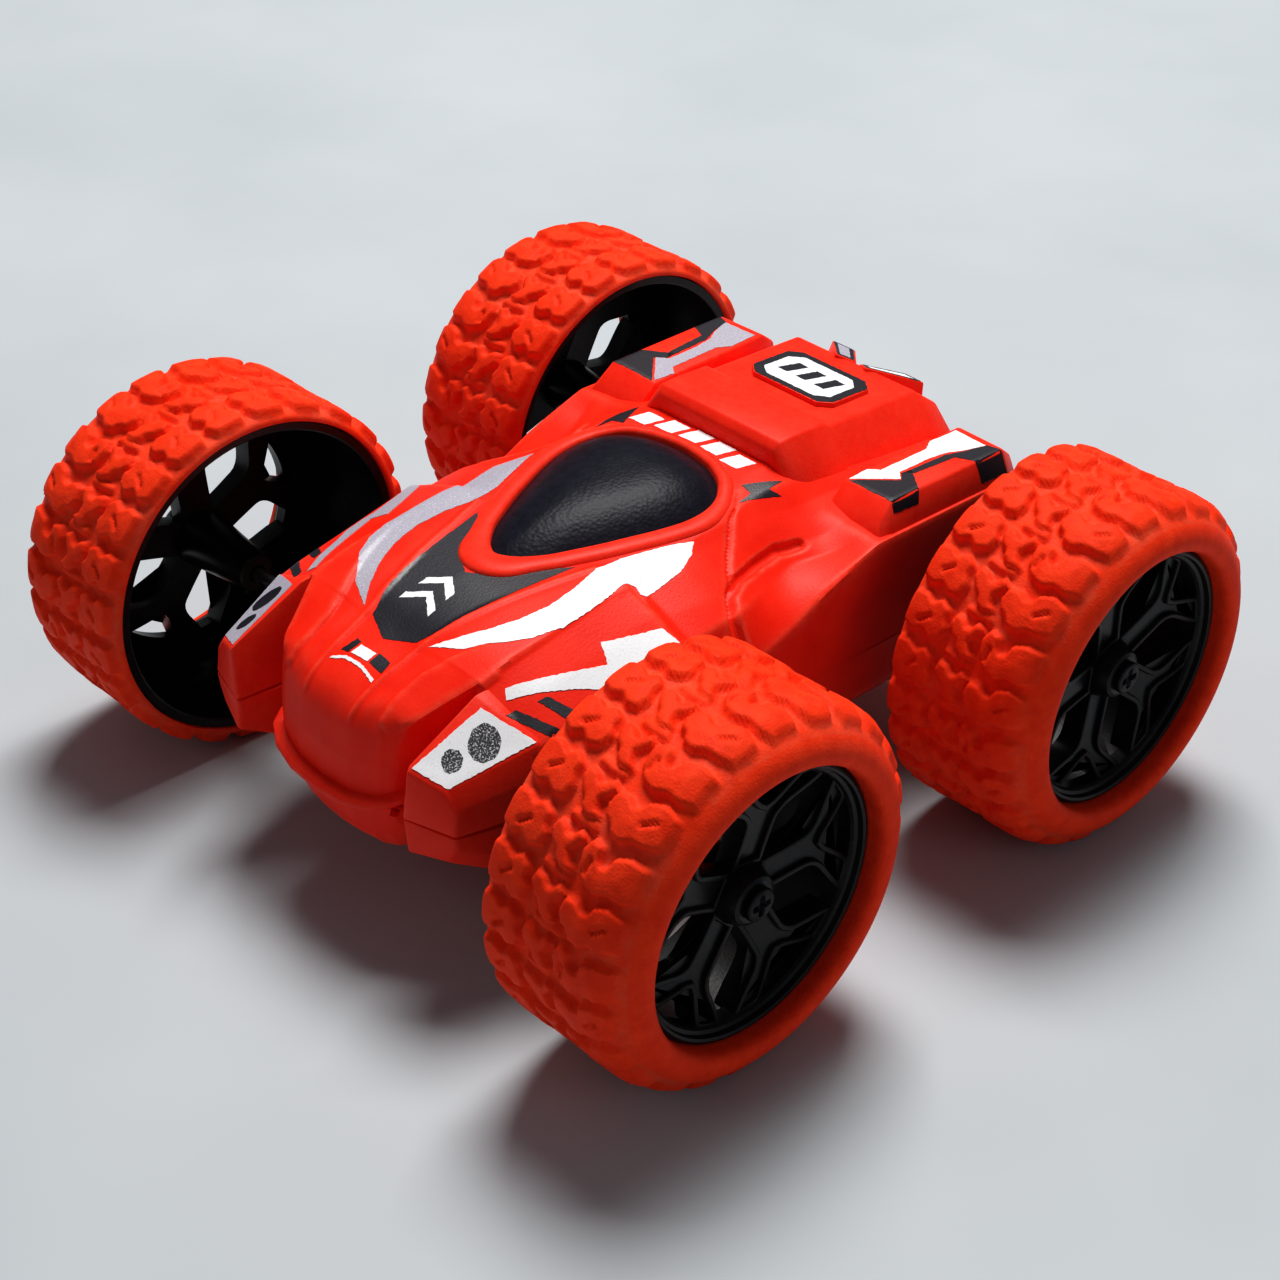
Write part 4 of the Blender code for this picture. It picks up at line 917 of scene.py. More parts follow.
for out, up in COLLAR_SECTION:
    across = rim + outward * (out * (stretch if out > 1 else np.ones_like(stretch)))[:, None]
    loops.append([bm.verts.new((px * MM, py * MM, (pz + up) * MM)) for (px, py), pz in zip(across, deck_z)])
for inner, outer in zip(loops, loops[1:] + loops[:1]):
    for i in range(len(inner)):
        j = (i + 1) % len(inner)
        bm.faces.new((inner[i], inner[j], outer[j], outer[i]))
bmesh.ops.recalc_face_normals(bm, faces=bm.faces)
collar = mesh_from(bm, "collar")
blocks.append(collar)
for block in blocks:
    mark_edges(block)

# edge wear and painted highlight: lighter, duller plastic where corners rub, which also paints the highlight
# that outer edges catch from the lamps
wear_and_highlight, wear_and_highlight_in, wear_and_highlight_out = shader_group("edge_wear_and_highlight", ("Amount",), ("Mask",))
edge_value = node(wear_and_highlight, "ShaderNodeAttribute", attribute_name="edge").outputs["Fac"]
where = node(wear_and_highlight, "ShaderNodeTexCoord").outputs["Object"]
patchy = node(wear_and_highlight, "ShaderNodeTexNoise", vector=where, scale=700.0, detail=4.0)
rough_share = node(wear_and_highlight, "ShaderNodeMapRange", clamp=True, value=patchy.outputs["Fac"], from_min=0.35,
                   from_max=0.65, to_min=0.35)
worn_and_highlit = node(wear_and_highlight, "ShaderNodeMath", operation="MULTIPLY")
wear_and_highlight.links.new(edge_value, worn_and_highlit.inputs[0])
wear_and_highlight.links.new(rough_share.outputs["Result"], worn_and_highlit.inputs[1])
scaled = node(wear_and_highlight, "ShaderNodeMath", operation="MULTIPLY", use_clamp=True)
wear_and_highlight.links.new(worn_and_highlit.outputs[0], scaled.inputs[0])
wear_and_highlight.links.new(wear_and_highlight_in.outputs["Amount"], scaled.inputs[1])
wear_and_highlight.links.new(scaled.outputs[0], wear_and_highlight_out.inputs["Mask"])

red_moulding, tree, shader = new_finish("red_moulded_plastic")
texture = use_group(tree, grain, Fine_scale=2200.0, Coarse_scale=160.0)
tone = ramp(tree, texture.outputs["Patches"], ((0.3, (0.86, 0.020, 0.0060)), (0.7, (0.95, 0.030, 0.0100))))
# outer corners painted a lighter red: partly rubbed wear, partly a painted highlight where edges catch the
# light
rubbed_and_highlit = use_group(tree, wear_and_highlight, Amount=0.5)
tree.links.new(blend_colour(tree, rubbed_and_highlit.outputs["Mask"], tone, (0.95, 0.11, 0.06)),
               shader.inputs["Base Color"])
vary_roughness(tree, shader, texture.outputs["Patches"], 0.36, 0.50)
shader.inputs["Specular IOR Level"].default_value = 0.13
add_bump(tree, shader, texture.outputs["Height"], 0.22, 0.00016)

shell_whole = joined("upper_body_shell", [shell_mesh] + blocks)
shell_whole.materials.append(red_moulding)
shell_whole.set_sharp_from_angle(angle=CORNER_ANGLE)
add_piece("upper_body_shell", shell_whole, "chassis", "upper_shell", slot="body_red")


# ---------------------------------------------------------------- printed marks
# The marks are pad-printed on the finished shell in two thin paints: a bright silver-white and a blue-black.
# They are plain shapes only: hood stripes, flashes, lamp fields, slanted bars, wing corners and cover plate.
PAINT_RISE = 0.07
PAINT_STEP = 0.42
PAINT_SINK = 0.03
PAINT_RAGGED = 0.07
EDGE_STEP = 0.45
# outlines in mm on the car's plan (x, y); the third value says whether the right side has one too
PRINTS = {
    "white": (
        ("hood_stripe", ((7.6, -49.9), (10.0, -46.9), (12.6, -42.9), (14.6, -38.2), (15.6, -33.0),
            (15.2, -27.4), (14.0, -22.0), (14.6, -17.0), (16.6, -11.0), (18.6, -5.6), (20.2, -7.6),
            (21.7, -11.4), (21.9, -16.0), (21.9, -20.0), (20.1, -19.3), (19.7, -21.5), (20.1, -24.5),
            (20.4, -28.7), (20.4, -34.6), (19.1, -39.6), (17.0, -43.2), (12.6, -47.6)), True),
        ("arch_flash", ((22.4, -47.8), (28.0, -32.5), (25.0, -31.2), (28.4, -21.8), (31.4, -20.9),
            (30.5, -27.1), (30.1, -30.0), (30.5, -32.2), (30.3, -35.5), (28.1, -39.2), (23.7, -48.6)),
            True),
        ("lamp_field", ((21.5, -64.8), (26.8, -62.6), (30.6, -48.9), (22.4, -52.4)), True),
        ("wing_corner", ((22.6, 25.7), (22.4, 30.3), (24.1, 31.7), (24.4, 42.6), (23.0, 45.2), (23.4, 51.4),
            (30.2, 50.9), (29.0, 47.0), (27.5, 44.3), (26.8, 40.0), (26.7, 33.4), (28.4, 31.7)), True),
        ("cover_field", ((-7.6, 37.0), (-7.6, 43.0), (-5.4, 45.0), (5.4, 45.0), (7.6, 43.0), (7.6, 37.0),
            (5.4, 35.3), (-5.4, 35.3)), False),
        ("fin_face", ((2.0, 52.8), (3.5, 51.8), (8.9, 57.2), (6.4, 57.5)), True),
        ("nose_block", ((-2.2, -56.9), (-1.9, -55.0), (1.5, -55.0), (1.4, -56.7)), False),
        ("nose_arc", ((-4.6, -58.6), (-2.3, -57.6), (1.6, -57.5), (4.8, -58.2), (4.9, -58.7), (1.6, -58.0),
            (-2.4, -58.1), (-4.6, -59.1)), False),
        ("hood_chevron_upper", ((-0.6, -38.2), (2.6, -40.6), (2.6, -42.3), (-0.6, -39.9), (-3.8, -42.3),
            (-3.8, -40.6)), False),
        ("hood_chevron_lower", ((-0.6, -42.1), (2.9, -44.6), (2.9, -46.0), (-0.6, -43.5), (-4.1, -46.0),
            (-4.1, -44.6)), False),
        ("deck_bar_1", ((-13.2, 15.4), (-9.4, 15.4), (-10.6, 11.8), (-14.4, 11.8)), False),
        ("deck_bar_2", ((-8.1, 16.4), (-4.3, 16.4), (-5.5, 12.8), (-9.3, 12.8)), False),
        ("deck_bar_3", ((-3.0, 16.9), (0.8, 16.9), (-0.4, 13.3), (-4.2, 13.3)), False),
        ("deck_bar_4", ((2.1, 16.8), (5.9, 16.8), (4.7, 13.2), (0.9, 13.2)), False),
        ("deck_bar_5", ((7.2, 16.2), (11.0, 16.2), (9.8, 12.6), (6.0, 12.6)), False)),
    "dark": (
        ("hood_field", ((0, -52.4), (5.2, -50.2), (7.0, -46.4), (8.4, -39.9), (9.8, -31.6), (11.2, -23.8),
            (9.4, -26.0), (7.2, -30.0), (4.4, -33.6), (0, -36.2), (-4.4, -33.6), (-7.2, -30.0),
            (-9.4, -26.0), (-11.2, -23.8), (-9.8, -31.6), (-8.4, -39.9), (-7.0, -46.4), (-5.2, -50.2)),
            False),
        ("pod_bar_front", ((25.2, -50.1), (25.4, -48.5), (31.2, -44.7), (31.4, -46.4)), True),
        ("pod_bar_rear", ((26.5, -45.1), (26.8, -43.4), (31.0, -40.8), (31.2, -42.7)), True),
        ("nose_block_left", ((1.8, -56.6), (1.9, -54.6), (4.7, -54.9), (5.0, -56.9)), False),
        ("nose_block_right", ((-4.2, -57.2), (-3.5, -54.5), (-2.5, -54.6), (-2.7, -57.0)), False),
        ("wing_front_corner", ((22.9, 25.5), (28.7, 31.5), (27.1, 33.3), (27.4, 35.5), (33.2, 30.8),
            (33.0, 25.0), (31.6, 25.2)), True),
        ("wing_outer_edge", ((27.2, 33.4), (27.8, 43.6), (29.4, 47.6), (30.3, 51.2), (34.1, 52.2),
            (34.0, 46.0), (29.4, 44.1), (28.5, 35.0)), True),
        ("cover_frame", ((-9.2, 36.1), (-9.2, 44.6), (-7.1, 46.4), (7.1, 46.4), (9.2, 44.6), (9.2, 36.1),
            (7.1, 34.2), (-7.1, 34.2)), False),
        ("fin_edge", ((0.9, 52.7), (3.4, 50.9), (10.1, 57.6), (6.0, 58.2)), True),
        ("deck_flash", ((13.7, 9.9), (16.6, 16.4), (17.0, 12.9), (18.6, 14.2), (16.5, 6.4), (16.1, 9.6)),
            True)),
    "dark_over": (
        ("cover_bar_1", ((-5.8, 38.4), (-4.6, 42.6), (-2.4, 42.6), (-3.6, 38.4)), False),
        ("cover_bar_2", ((-1.6, 38.4), (-0.4, 42.6), (1.8, 42.6), (0.6, 38.4)), False),
        ("cover_bar_3", ((2.6, 38.4), (3.8, 42.6), (6.0, 42.6), (4.8, 38.4)), False))}
# round lamp marks on the pods: (middle, radius)
LAMPS_ON_FIELD = (((25.9, -54.9), 2.25), ((24.6, -59.9), 1.45))
LAMP_STRETCH = 1.12
LAMP_CORNERS = 28
LAMP_RISE = 0.05
LAMP_RAGGED = 0.12

plain_bm = bmesh.new()
for mesh in [shell_mesh] + [block for block in blocks if block is not collar]:
    plain_bm.from_mesh(mesh)
shell_tree = BVHTree.FromBMesh(plain_bm)
plain_bm.free()
wobble = random.Random(11)


def lay_paint(bm, outline, rise, ragged=PAINT_RAGGED):
    """Lays one printed shape on the shell, cut into small triangles and let down on it."""
    if signed_area(outline) < 0:
        outline = outline[::-1]
    edge = resample(list(outline) + [outline[0]], EDGE_STEP)[:-1]
    edge = [(px + wobble.uniform(-ragged, ragged), py + wobble.uniform(-ragged, ragged)) for px, py in edge]
    xs = [p[0] for p in edge]
    ys = [p[1] for p in edge]
    gx, gy = np.meshgrid(np.arange(min(xs), max(xs), PAINT_STEP), np.arange(min(ys), max(ys), PAINT_STEP))
    inside = outline_distance(gx, gy, edge) < -0.3
    flat = [Vector(p) for p in edge] + [Vector((float(a), float(b))) for a, b in zip(gx[inside], gy[inside])]
    count = len(edge)
    made = delaunay_2d_cdt(flat, [(i, (i + 1) % count) for i in range(count)], [], 1, 1e-5)
    tops = []
    unders = []
    for point in made[0]:
        hit, normal, _, _ = shell_tree.ray_cast(Vector((point.x * MM, point.y * MM, RAY_START)), DOWNWARD)
        tops.append(bm.verts.new(hit + normal * rise * MM))
        unders.append(bm.verts.new(hit - normal * PAINT_SINK * MM))
    for a, b, c in made[2]:
        bm.faces.new((tops[a], tops[b], tops[c]))
        bm.faces.new((unders[c], unders[b], unders[a]))
    sides = dict.fromkeys((a, b) for face in made[2] for a, b in zip(face, face[1:] + face[:1]))
    for a, b in sides:
        if (b, a) not in sides:
            bm.faces.new((tops[b], tops[a], unders[a], unders[b]))


def printed_paint(name, colour, speck_colour, speck_from, roughness):
    """A thin, slightly speckled printing ink."""
    finish, tree, shader = new_finish(name)
    texture = use_group(tree, grain, Fine_scale=2600.0, Coarse_scale=500.0)
    where = node(tree, "ShaderNodeTexCoord").outputs["Object"]
    specks = node(tree, "ShaderNodeTexNoise", vector=where, scale=3800.0, detail=3.0)
    mask = node(tree, "ShaderNodeMapRange", clamp=True, value=specks.outputs["Fac"], from_min=speck_from,
                from_max=speck_from + 0.10)
    tree.links.new(blend_colour(tree, mask.outputs["Result"], colour, speck_colour),
                   shader.inputs["Base Color"])
    shader.inputs["Roughness"].default_value = roughness
    add_bump(tree, shader, texture.outputs["Height"], 0.2, 0.00012)
    return finish


paints = {
    "white": printed_paint("white_print", (0.88, 0.89, 0.92), (0.70, 0.70, 0.74), 0.60, 0.38),
    "silver": printed_paint("silver_print", (0.40, 0.38, 0.45), (0.60, 0.58, 0.66), 0.56, 0.42),
    "dark": printed_paint("blue_black_print", (0.010, 0.009, 0.016), (0.10, 0.08, 0.10), 0.66, 0.40),
    "lamp": printed_paint("speckled_grey_print", (0.030, 0.030, 0.036), (0.55, 0.55, 0.58), 0.52, 0.45)}
layers = {key: bmesh.new() for key in paints}
LAYER_RISE = {"dark": 0.0, "white": 0.03, "dark_over": 0.06}
for layer, shapes in PRINTS.items():
    ink = layer.split("_")[0]
    for name, outline, both in shapes:
        rise = PAINT_RISE + LAYER_RISE[layer]
        lay_paint(layers[ink], outline, rise)
        if both:
            other = "silver" if ink == "white" else ink
            lay_paint(layers[other], tuple((-px, py) for px, py in reversed(outline)), rise)
for (cx, cy), radius in LAMPS_ON_FIELD:
    disc = [(cx + radius * math.cos(a), cy + radius * LAMP_STRETCH * math.sin(a))
            for a in (math.tau * i / LAMP_CORNERS for i in range(LAMP_CORNERS))]
    lay_paint(layers["lamp"], disc, PAINT_RISE + LAMP_RISE, LAMP_RAGGED)
    lay_paint(layers["dark"], [(-px, py) for px, py in reversed(disc)], PAINT_RISE + LAMP_RISE)
for key, bm in layers.items():
    mesh = mesh_from(bm, f"printed_{key}_marks")
    mesh.materials.append(paints[key])
    mesh.set_sharp_from_angle(angle=math.radians(35))
    slot = "canopy_black" if key in ("dark", "lamp") else None
    add_piece(f"printed_{key}_marks", mesh, "chassis", slot=slot)


# ---------------------------------------------------------------- canopy
# The canopy is a separate drop-shaped insert in black plastic with a fine leathery grain. It is a shallow
# dome, steepest at the back, clipped into the collar of the upper shell.
CANOPY_RISE = 4.5
CANOPY_RINGS = 22
CANOPY_MIDDLE_Y = -3.0
CANOPY_FRONT = (-30.6, 50.6)
CANOPY_SLOPE = 0.084
CANOPY_GAP = 0.12
CANOPY_SKIRT = 1.3
edge = (rim - outward * CANOPY_GAP).tolist()
rings = []
for i in range(CANOPY_RINGS + 1):
    share = math.cos(math.pi / 2 * i / (CANOPY_RINGS + 0.6))
    height = CANOPY_RISE * (1 - share ** 2.8)
    ring = []
    for px, py in edge:
        qx, qy = px * share, CANOPY_MIDDLE_Y + (py - CANOPY_MIDDLE_Y) * share
        ring.append((qx, qy, CANOPY_FRONT[1] + (qy - CANOPY_FRONT[0]) * CANOPY_SLOPE + height))
    rings.append(ring)
under = [[(px, py, pz - CANOPY_SKIRT) for px, py, pz in rings[0]]]
bm = bmesh.new()
stack_rings(bm, under + rings)
bmesh.ops.recalc_face_normals(bm, faces=bm.faces)
canopy_mesh = mesh_from(bm, "canopy_dome")
canopy_mesh.set_sharp_from_angle(angle=math.radians(50))

black_satin, tree, shader = new_finish("grained_black_plastic")
where = node(tree, "ShaderNodeTexCoord").outputs["Object"]
pores = node(tree, "ShaderNodeTexVoronoi", vector=where, scale=1500.0)
creases = node(tree, "ShaderNodeTexNoise", vector=where, scale=620.0, detail=4.0)
skin_height = node(tree, "ShaderNodeMath", operation="ADD")
tree.links.new(pores.outputs["Distance"], skin_height.inputs[0])
tree.links.new(creases.outputs["Fac"], skin_height.inputs[1])
tree.links.new(ramp(tree, creases.outputs["Fac"], ((0.35, (0.009, 0.009, 0.015)),
                                                   (0.7, (0.014, 0.014, 0.023)))),
               shader.inputs["Base Color"])
shader.inputs["Roughness"].default_value = 0.38
shader.inputs["Specular IOR Level"].default_value = 0.10
add_bump(tree, shader, skin_height.outputs[0], 0.40, 0.00010)
canopy_mesh.materials.append(black_satin)
add_piece("canopy_dome", canopy_mesh, "chassis", "canopy", slot="canopy_black")


# ---------------------------------------------------------------- lower body shell
# The lower half is a shallow red tub with a flat belly, a chin below the nose and the pods' undersides.
# A battery door and a slide switch sit in its belly; a thin bumper lip runs round the nose at the joint.
BELLY_Z = 14.0
TUB_GAP = 0.25
TUB_WALL = 1.5
DOOR_POCKET = 1.9
SLOT_POCKET = 1.6
GRIP_DEPTH = 0.45
SIDE_RIB_DEPTH = 0.3
TUB_NET = (
    ((13.3, -61.9, 26), (13.1, -62.0, 26), (11.4, -62.8, 26), (8.6, -63.5, 26), (4.4, -64.0, 26),
        (0, -64.1, 26)),
    ((13.5, -61.5, 26), (13.2, -61.6, 24), (11.2, -61.8, 21.6), (8.6, -62.2, 20.2), (4.4, -62.6, 19.4),
        (0, -62.7, 19.2)),
    ((13.8, -60.9, 26), (13.3, -60.9, 22.5), (11.2, -61.0, 18.6), (8.2, -61.4, 17.2), (4.2, -61.7, 16.6),
        (0, -61.8, 16.4)),
    ((14.2, -60.0, 26), (13.7, -59.9, 21.6), (12.2, -59.9, 17.2), (9.0, -60.3, 16.0), (4.4, -60.6, 15.7),
        (0, -60.8, 15.6)),
    ((17.4, -50.7, 26), (17.2, -50.7, 22), (15.6, -50.7, 17.4), (12.4, -50.7, 15.4), (6.0, -50.7, 15.0),
        (0, -50.7, 15.0)),
    ((32.7, -50.2, 30), (31.9, -50.2, 23), (27.0, -50.2, 17.2), (18.4, -50.2, 14.6), (8.0, -50.2, 14.3),
        (0, -50.2, 14.3)),
    ((33.4, -45.0, 30), (32.4, -45.0, 22.6), (27.8, -45.0, 16.4), (20.6, -45.0, BELLY_Z),
        (9.0, -45.0, BELLY_Z), (0, -45.0, BELLY_Z)),
    ((34.0, -22.0, 30), (33.4, -22.0, 21.6), (28.8, -22.0, 15.2), (23.4, -22.0, BELLY_Z),
        (10.0, -22.0, BELLY_Z), (0, -22.0, BELLY_Z)),
    ((34.8, 0.0, 30), (34.2, 0.0, 21.2), (29.2, 0.0, 14.9), (24.0, 0.0, BELLY_Z), (10.0, 0.0, BELLY_Z),
        (0, 0.0, BELLY_Z)),
    ((35.5, 20.0, 30), (34.9, 20.0, 20.8), (29.6, 20.0, 14.7), (24.2, 20.0, BELLY_Z), (10.0, 20.0, BELLY_Z),
        (0, 20.0, BELLY_Z)),
    ((35.5, 50.0, 30), (34.8, 50.0, 20.8), (29.6, 50.0, 14.8), (24.2, 50.0, BELLY_Z), (10.0, 50.0, BELLY_Z),
        (0, 50.0, BELLY_Z)),
    ((34.2, 57.0, 30), (33.2, 57.0, 23.6), (27.2, 57.0, 17.4), (22.0, 57.0, 16.4), (10.0, 57.0, 16.2),
        (0, 57.0, 16.2)),
    ((33.6, 58.9, 30), (32.2, 59.1, 25.6), (26.2, 59.2, 20.6), (21.2, 59.2, 19.6), (10.0, 59.2, 19.4),
        (0, 59.2, 19.4)),
    ((33.4, 59.3, 30), (31.4, 59.4, 30), (26.0, 59.5, 30), (21.0, 59.5, 30), (10.0, 59.5, 30),
        (0, 59.5, 30)))
TUB_COLUMNS = (12, 12, 10, 16, 14)
net = tuple(tuple(reversed(row)) for row in TUB_NET)
tub = fill_net(net, ((5, 9),), 0.75, tuple(reversed(TUB_COLUMNS)))[:, ::-1]
tub = soften(tub, 2)
x, y, z = np.abs(tub[..., 0]), tub[..., 1], tub[..., 2]
on_belly = (grid_normals(tub)[..., 2] < -0.9)
door_low, door_high = (Vector(c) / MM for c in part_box("battery_door"))
in_door = np.maximum(np.abs(tub[..., 0]) - door_high.x, np.maximum(door_low.y - y, y - door_high.y))
knob_low, knob_high = (Vector(c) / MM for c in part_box("switch_knob"))
slot_y = (knob_low.y + knob_high.y) / 2 + 1.0
in_slot = np.maximum(x - 1.7, np.abs(y - slot_y) - 2.9)
sink = DOOR_POCKET * (1 - eased(0.1, 0.5, in_door)) + SLOT_POCKET * (1 - eased(0.0, 0.4, in_slot))
ribs = (np.abs(x - 20.4) < 0.6) * (y > 14) * (y < 46)
grooves = (np.abs((y - 27.0) % 6.0 - 3.0) < 0.55) * (x < 14.0) * (y > 26.0) * (y < 47.0)
sink = sink + GRIP_DEPTH * grooves + SIDE_RIB_DEPTH * ribs
tub[..., 2] += np.where(on_belly | (in_door < 0.5), sink, 0.0)
for border in (np.s_[:, 0], np.s_[:, -1], np.s_[0, :], np.s_[-1, :]):
    tub[border][..., 2] -= TUB_GAP
tub_mesh = sheet_mesh("lower_body", tub, TUB_WALL)

POD_UNDER = (
    ((20.3, -65.7, 29.8), (21.0, -65.6, 24.4), (27.3, -63.2, 25.0), (28.6, -63.1, 27.4),
        (28.9, -63.3, 29.8)),
    ((19.9, -65.2, 29.8), (20.6, -65.0, 23.8), (27.8, -62.4, 24.4), (29.0, -62.3, 27.0),
        (29.3, -62.6, 29.8)),
    ((19.0, -57.0, 29.8), (19.4, -57.4, 19.8), (28.2, -56.6, 20.6), (30.6, -56.6, 24.6),
        (31.1, -56.8, 29.8)),
    ((18.4, -48.4, 29.8), (18.4, -48.4, 16.2), (27.0, -48.4, 17.4), (31.8, -48.4, 23.0),
        (32.6, -48.4, 29.8)))
LIP_PATH = ((15.4, -58.2, 28.9), (15.0, -60.8, 28.4), (13.6, -63.2, 27.7), (10.8, -64.9, 26.5),
    (6.0, -65.9, 25.5), (0, -66.2, 25.3))
LIP_SECTION = ((0.2, 0.75), (0.6, 0.45), (0.6, -0.45), (0.2, -0.75), (-2.6, -0.9), (-2.6, 1.1))


def swept_rail(half_path, profile):
    """A rail swept along a path that is mirrored about the middle; the profile is (outwards, up)."""
    path = list(half_path) + [(-px, py, pz) for px, py, pz in reversed(half_path[:-1])]
    rings = []
    for i, here in enumerate(path):
        before, after = Vector(path[max(0, i - 1)]), Vector(path[min(len(path) - 1, i + 1)])
        heading = (after - before).normalized()
        outward = heading.cross(Vector((0, 0, 1))).normalized()
        if outward.y > 0:
            outward = -outward
        rings.append([Vector(here) + outward * out + Vector((0, 0, 1)) * up for out, up in profile])
    return rings


blocks = [faceted_body(swept_rail(LIP_PATH, LIP_SECTION), 0.18, angle=30)]
for _, side in SIDES:
    blocks.append(faceted_body(mirrored_rings(POD_UNDER, side), 0.38))
for block in blocks:
    mark_edges(block)
tub_whole = joined("lower_body_tub", [tub_mesh] + blocks)
tub_whole.materials.append(red_moulding)
tub_whole.set_sharp_from_angle(angle=CORNER_ANGLE)
add_piece("lower_body_tub", tub_whole, "chassis", "lower_shell", slot="body_red")


# ---------------------------------------------------------------- screws
# Blackened cross-head screws hold each wheel on its axle. Plain zinc ones hold the two halves of the body
# together and close the battery door from below. All are rolled wire with a pressed head and recess.
SCREW_COLUMNS = 40
THREAD_PITCH = 0.9
RECESS_HALF, RECESS_REACH, RECESS_DEPTH = 0.14, 0.60, 0.55
WHEEL_SCREW_HEAD, WHEEL_SCREW_SHANK = 1.3, 1.0
BODY_SCREW_HEAD, BODY_SCREW_SHANK = 1.2, 0.95
# the head from its rim to its middle: (share of the radius, share of the height)
HEAD_STEPS = ((1.0, -0.30), (0.97, -0.12), (0.90, -0.03), (0.80, 0.0), (0.68, 0.02), (0.56, 0.03),
    (0.44, 0.04), (0.33, 0.04), (0.22, 0.04), (0.11, 0.04))


def screw_mesh(name, radius, head, shank, length):
    """A pan-head screw in mm standing on its shank: seat at z = 0, recess on top, thread below."""
    rings = [(0.25 * shank, -length), (0.8 * shank, -length + 0.5)]
    z = -length + 1.0
    while z < -1.0:
        rings += [(0.78 * shank, z), (shank, z + THREAD_PITCH * 0.35), (0.78 * shank, z + THREAD_PITCH * 0.7)]
        z += THREAD_PITCH
    rings += [(0.8 * shank, -0.05), (0.97 * radius, 0.0)]
    bm = bmesh.new()
    grid = []
    angles = [math.tau * i / SCREW_COLUMNS for i in range(SCREW_COLUMNS)]
    for r, z in rings:
        grid.append([bm.verts.new((r * math.cos(a) * MM, r * math.sin(a) * MM, z * MM)) for a in angles])
    for share, drop in HEAD_STEPS:
        row = []
        for a in angles:
            u, v = share * math.cos(a), share * math.sin(a)
            arm = min(max(abs(u) - RECESS_HALF, abs(v) - RECESS_REACH),
                      max(abs(v) - RECESS_HALF, abs(u) - RECESS_REACH))
            sunk = RECESS_DEPTH * (1 - eased(-0.03, 0.05, arm))
            row.append(bm.verts.new((u * radius * MM, v * radius * MM, head * (0.96 + drop - sunk) * MM)))
        grid.append(row)
    for low, high in zip(grid, grid[1:]):
        for i in range(SCREW_COLUMNS):
            j = (i + 1) % SCREW_COLUMNS
            bm.faces.new((low[i], low[j], high[j], high[i]))
    for row in (grid[0][::-1], grid[-1]):
        centre = bm.verts.new(sum((vert.co for vert in row), Vector()) / len(row))
        for i in range(SCREW_COLUMNS):
            bm.faces.new((row[i], row[(i + 1) % SCREW_COLUMNS], centre))
    mesh = mesh_from(bm, name)
    mesh.set_sharp_from_angle(angle=math.radians(45))
    return mesh


def worked_metal(name, dark, light, roughness, scratch):
    """Metal with fine drawn scratches and cloudy tarnish."""
    finish, tree, shader = new_finish(name)
    texture = use_group(tree, grain, Fine_scale=3200.0, Coarse_scale=600.0)
    tree.links.new(ramp(tree, texture.outputs["Patches"], ((0.3, dark), (0.7, light))),
                   shader.inputs["Base Color"])
    shader.inputs["Metallic"].default_value = 1.0
    vary_roughness(tree, shader, texture.outputs["Patches"], roughness + 0.12, roughness)
    add_bump(tree, shader, texture.outputs["Height"], scratch, 0.00008)
    return finish


black_oxide = worked_metal("black_oxide_steel", (0.010, 0.010, 0.012), (0.035, 0.034, 0.036), 0.42, 0.3)
zinc = worked_metal("zinc_plated_steel", (0.44, 0.45, 0.47), (0.62, 0.62, 0.62), 0.28, 0.25)
bare_steel = worked_metal("drawn_steel", (0.36, 0.36, 0.37), (0.56, 0.56, 0.56), 0.24, 0.35)
brass = worked_metal("machined_brass", (0.52, 0.35, 0.13), (0.72, 0.52, 0.22), 0.26, 0.3)
for place in PLACES:
    low, high = (Vector(corner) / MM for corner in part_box(f"hub_screw_{place}"))
    side = 1 if place.endswith("left") else -1
    radius = (high.y - low.y) / 2
    length = high.x - low.x - WHEEL_SCREW_HEAD
    mesh = screw_mesh(f"wheel_screw_{place}", radius, WHEEL_SCREW_HEAD, WHEEL_SCREW_SHANK, length)
    seat = (high.x if side > 0 else -low.x) - WHEEL_SCREW_HEAD
    turn = Matrix.Rotation(side * math.pi / 2, 4, "Y")
    shift = Vector((side * seat, (low.y + high.y) / 2, (low.z + high.z) / 2)) * MM
    mesh.transform(Matrix.Translation(shift) @ turn)
    mesh.materials.append(black_oxide)
    add_piece(f"wheel_screw_{place}", mesh, "chassis" if place.startswith("front") else f"wheel_{place}",
              f"hub_screw_{place}", slot="steel")
for name in [f"shell_screw_{place}" for place in PLACES] + ["battery_door_screw"]:
    low, high = (Vector(corner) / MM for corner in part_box(name))
    length = high.z - low.z - BODY_SCREW_HEAD
    mesh = screw_mesh(f"body_{name}", (high.x - low.x) / 2, BODY_SCREW_HEAD, BODY_SCREW_SHANK, length)
    shift = Vector(((low.x + high.x) / 2, (low.y + high.y) / 2, low.z + BODY_SCREW_HEAD)) * MM
    mesh.transform(Matrix.Translation(shift) @ Matrix.Rotation(math.pi, 4, "X"))
    mesh.materials.append(zinc)
    add_piece(f"body_{name}", mesh, "chassis", name, slot="steel")


# ---------------------------------------------------------------- parts seen through the wheels and inside
# Axles, bushes, gear trains, motors, cells and the circuit board keep their simple shapes and get the finish
# of the real thing: drawn steel, machined brass, waxy nylon, cast-looking grey plastic, lacquered board.


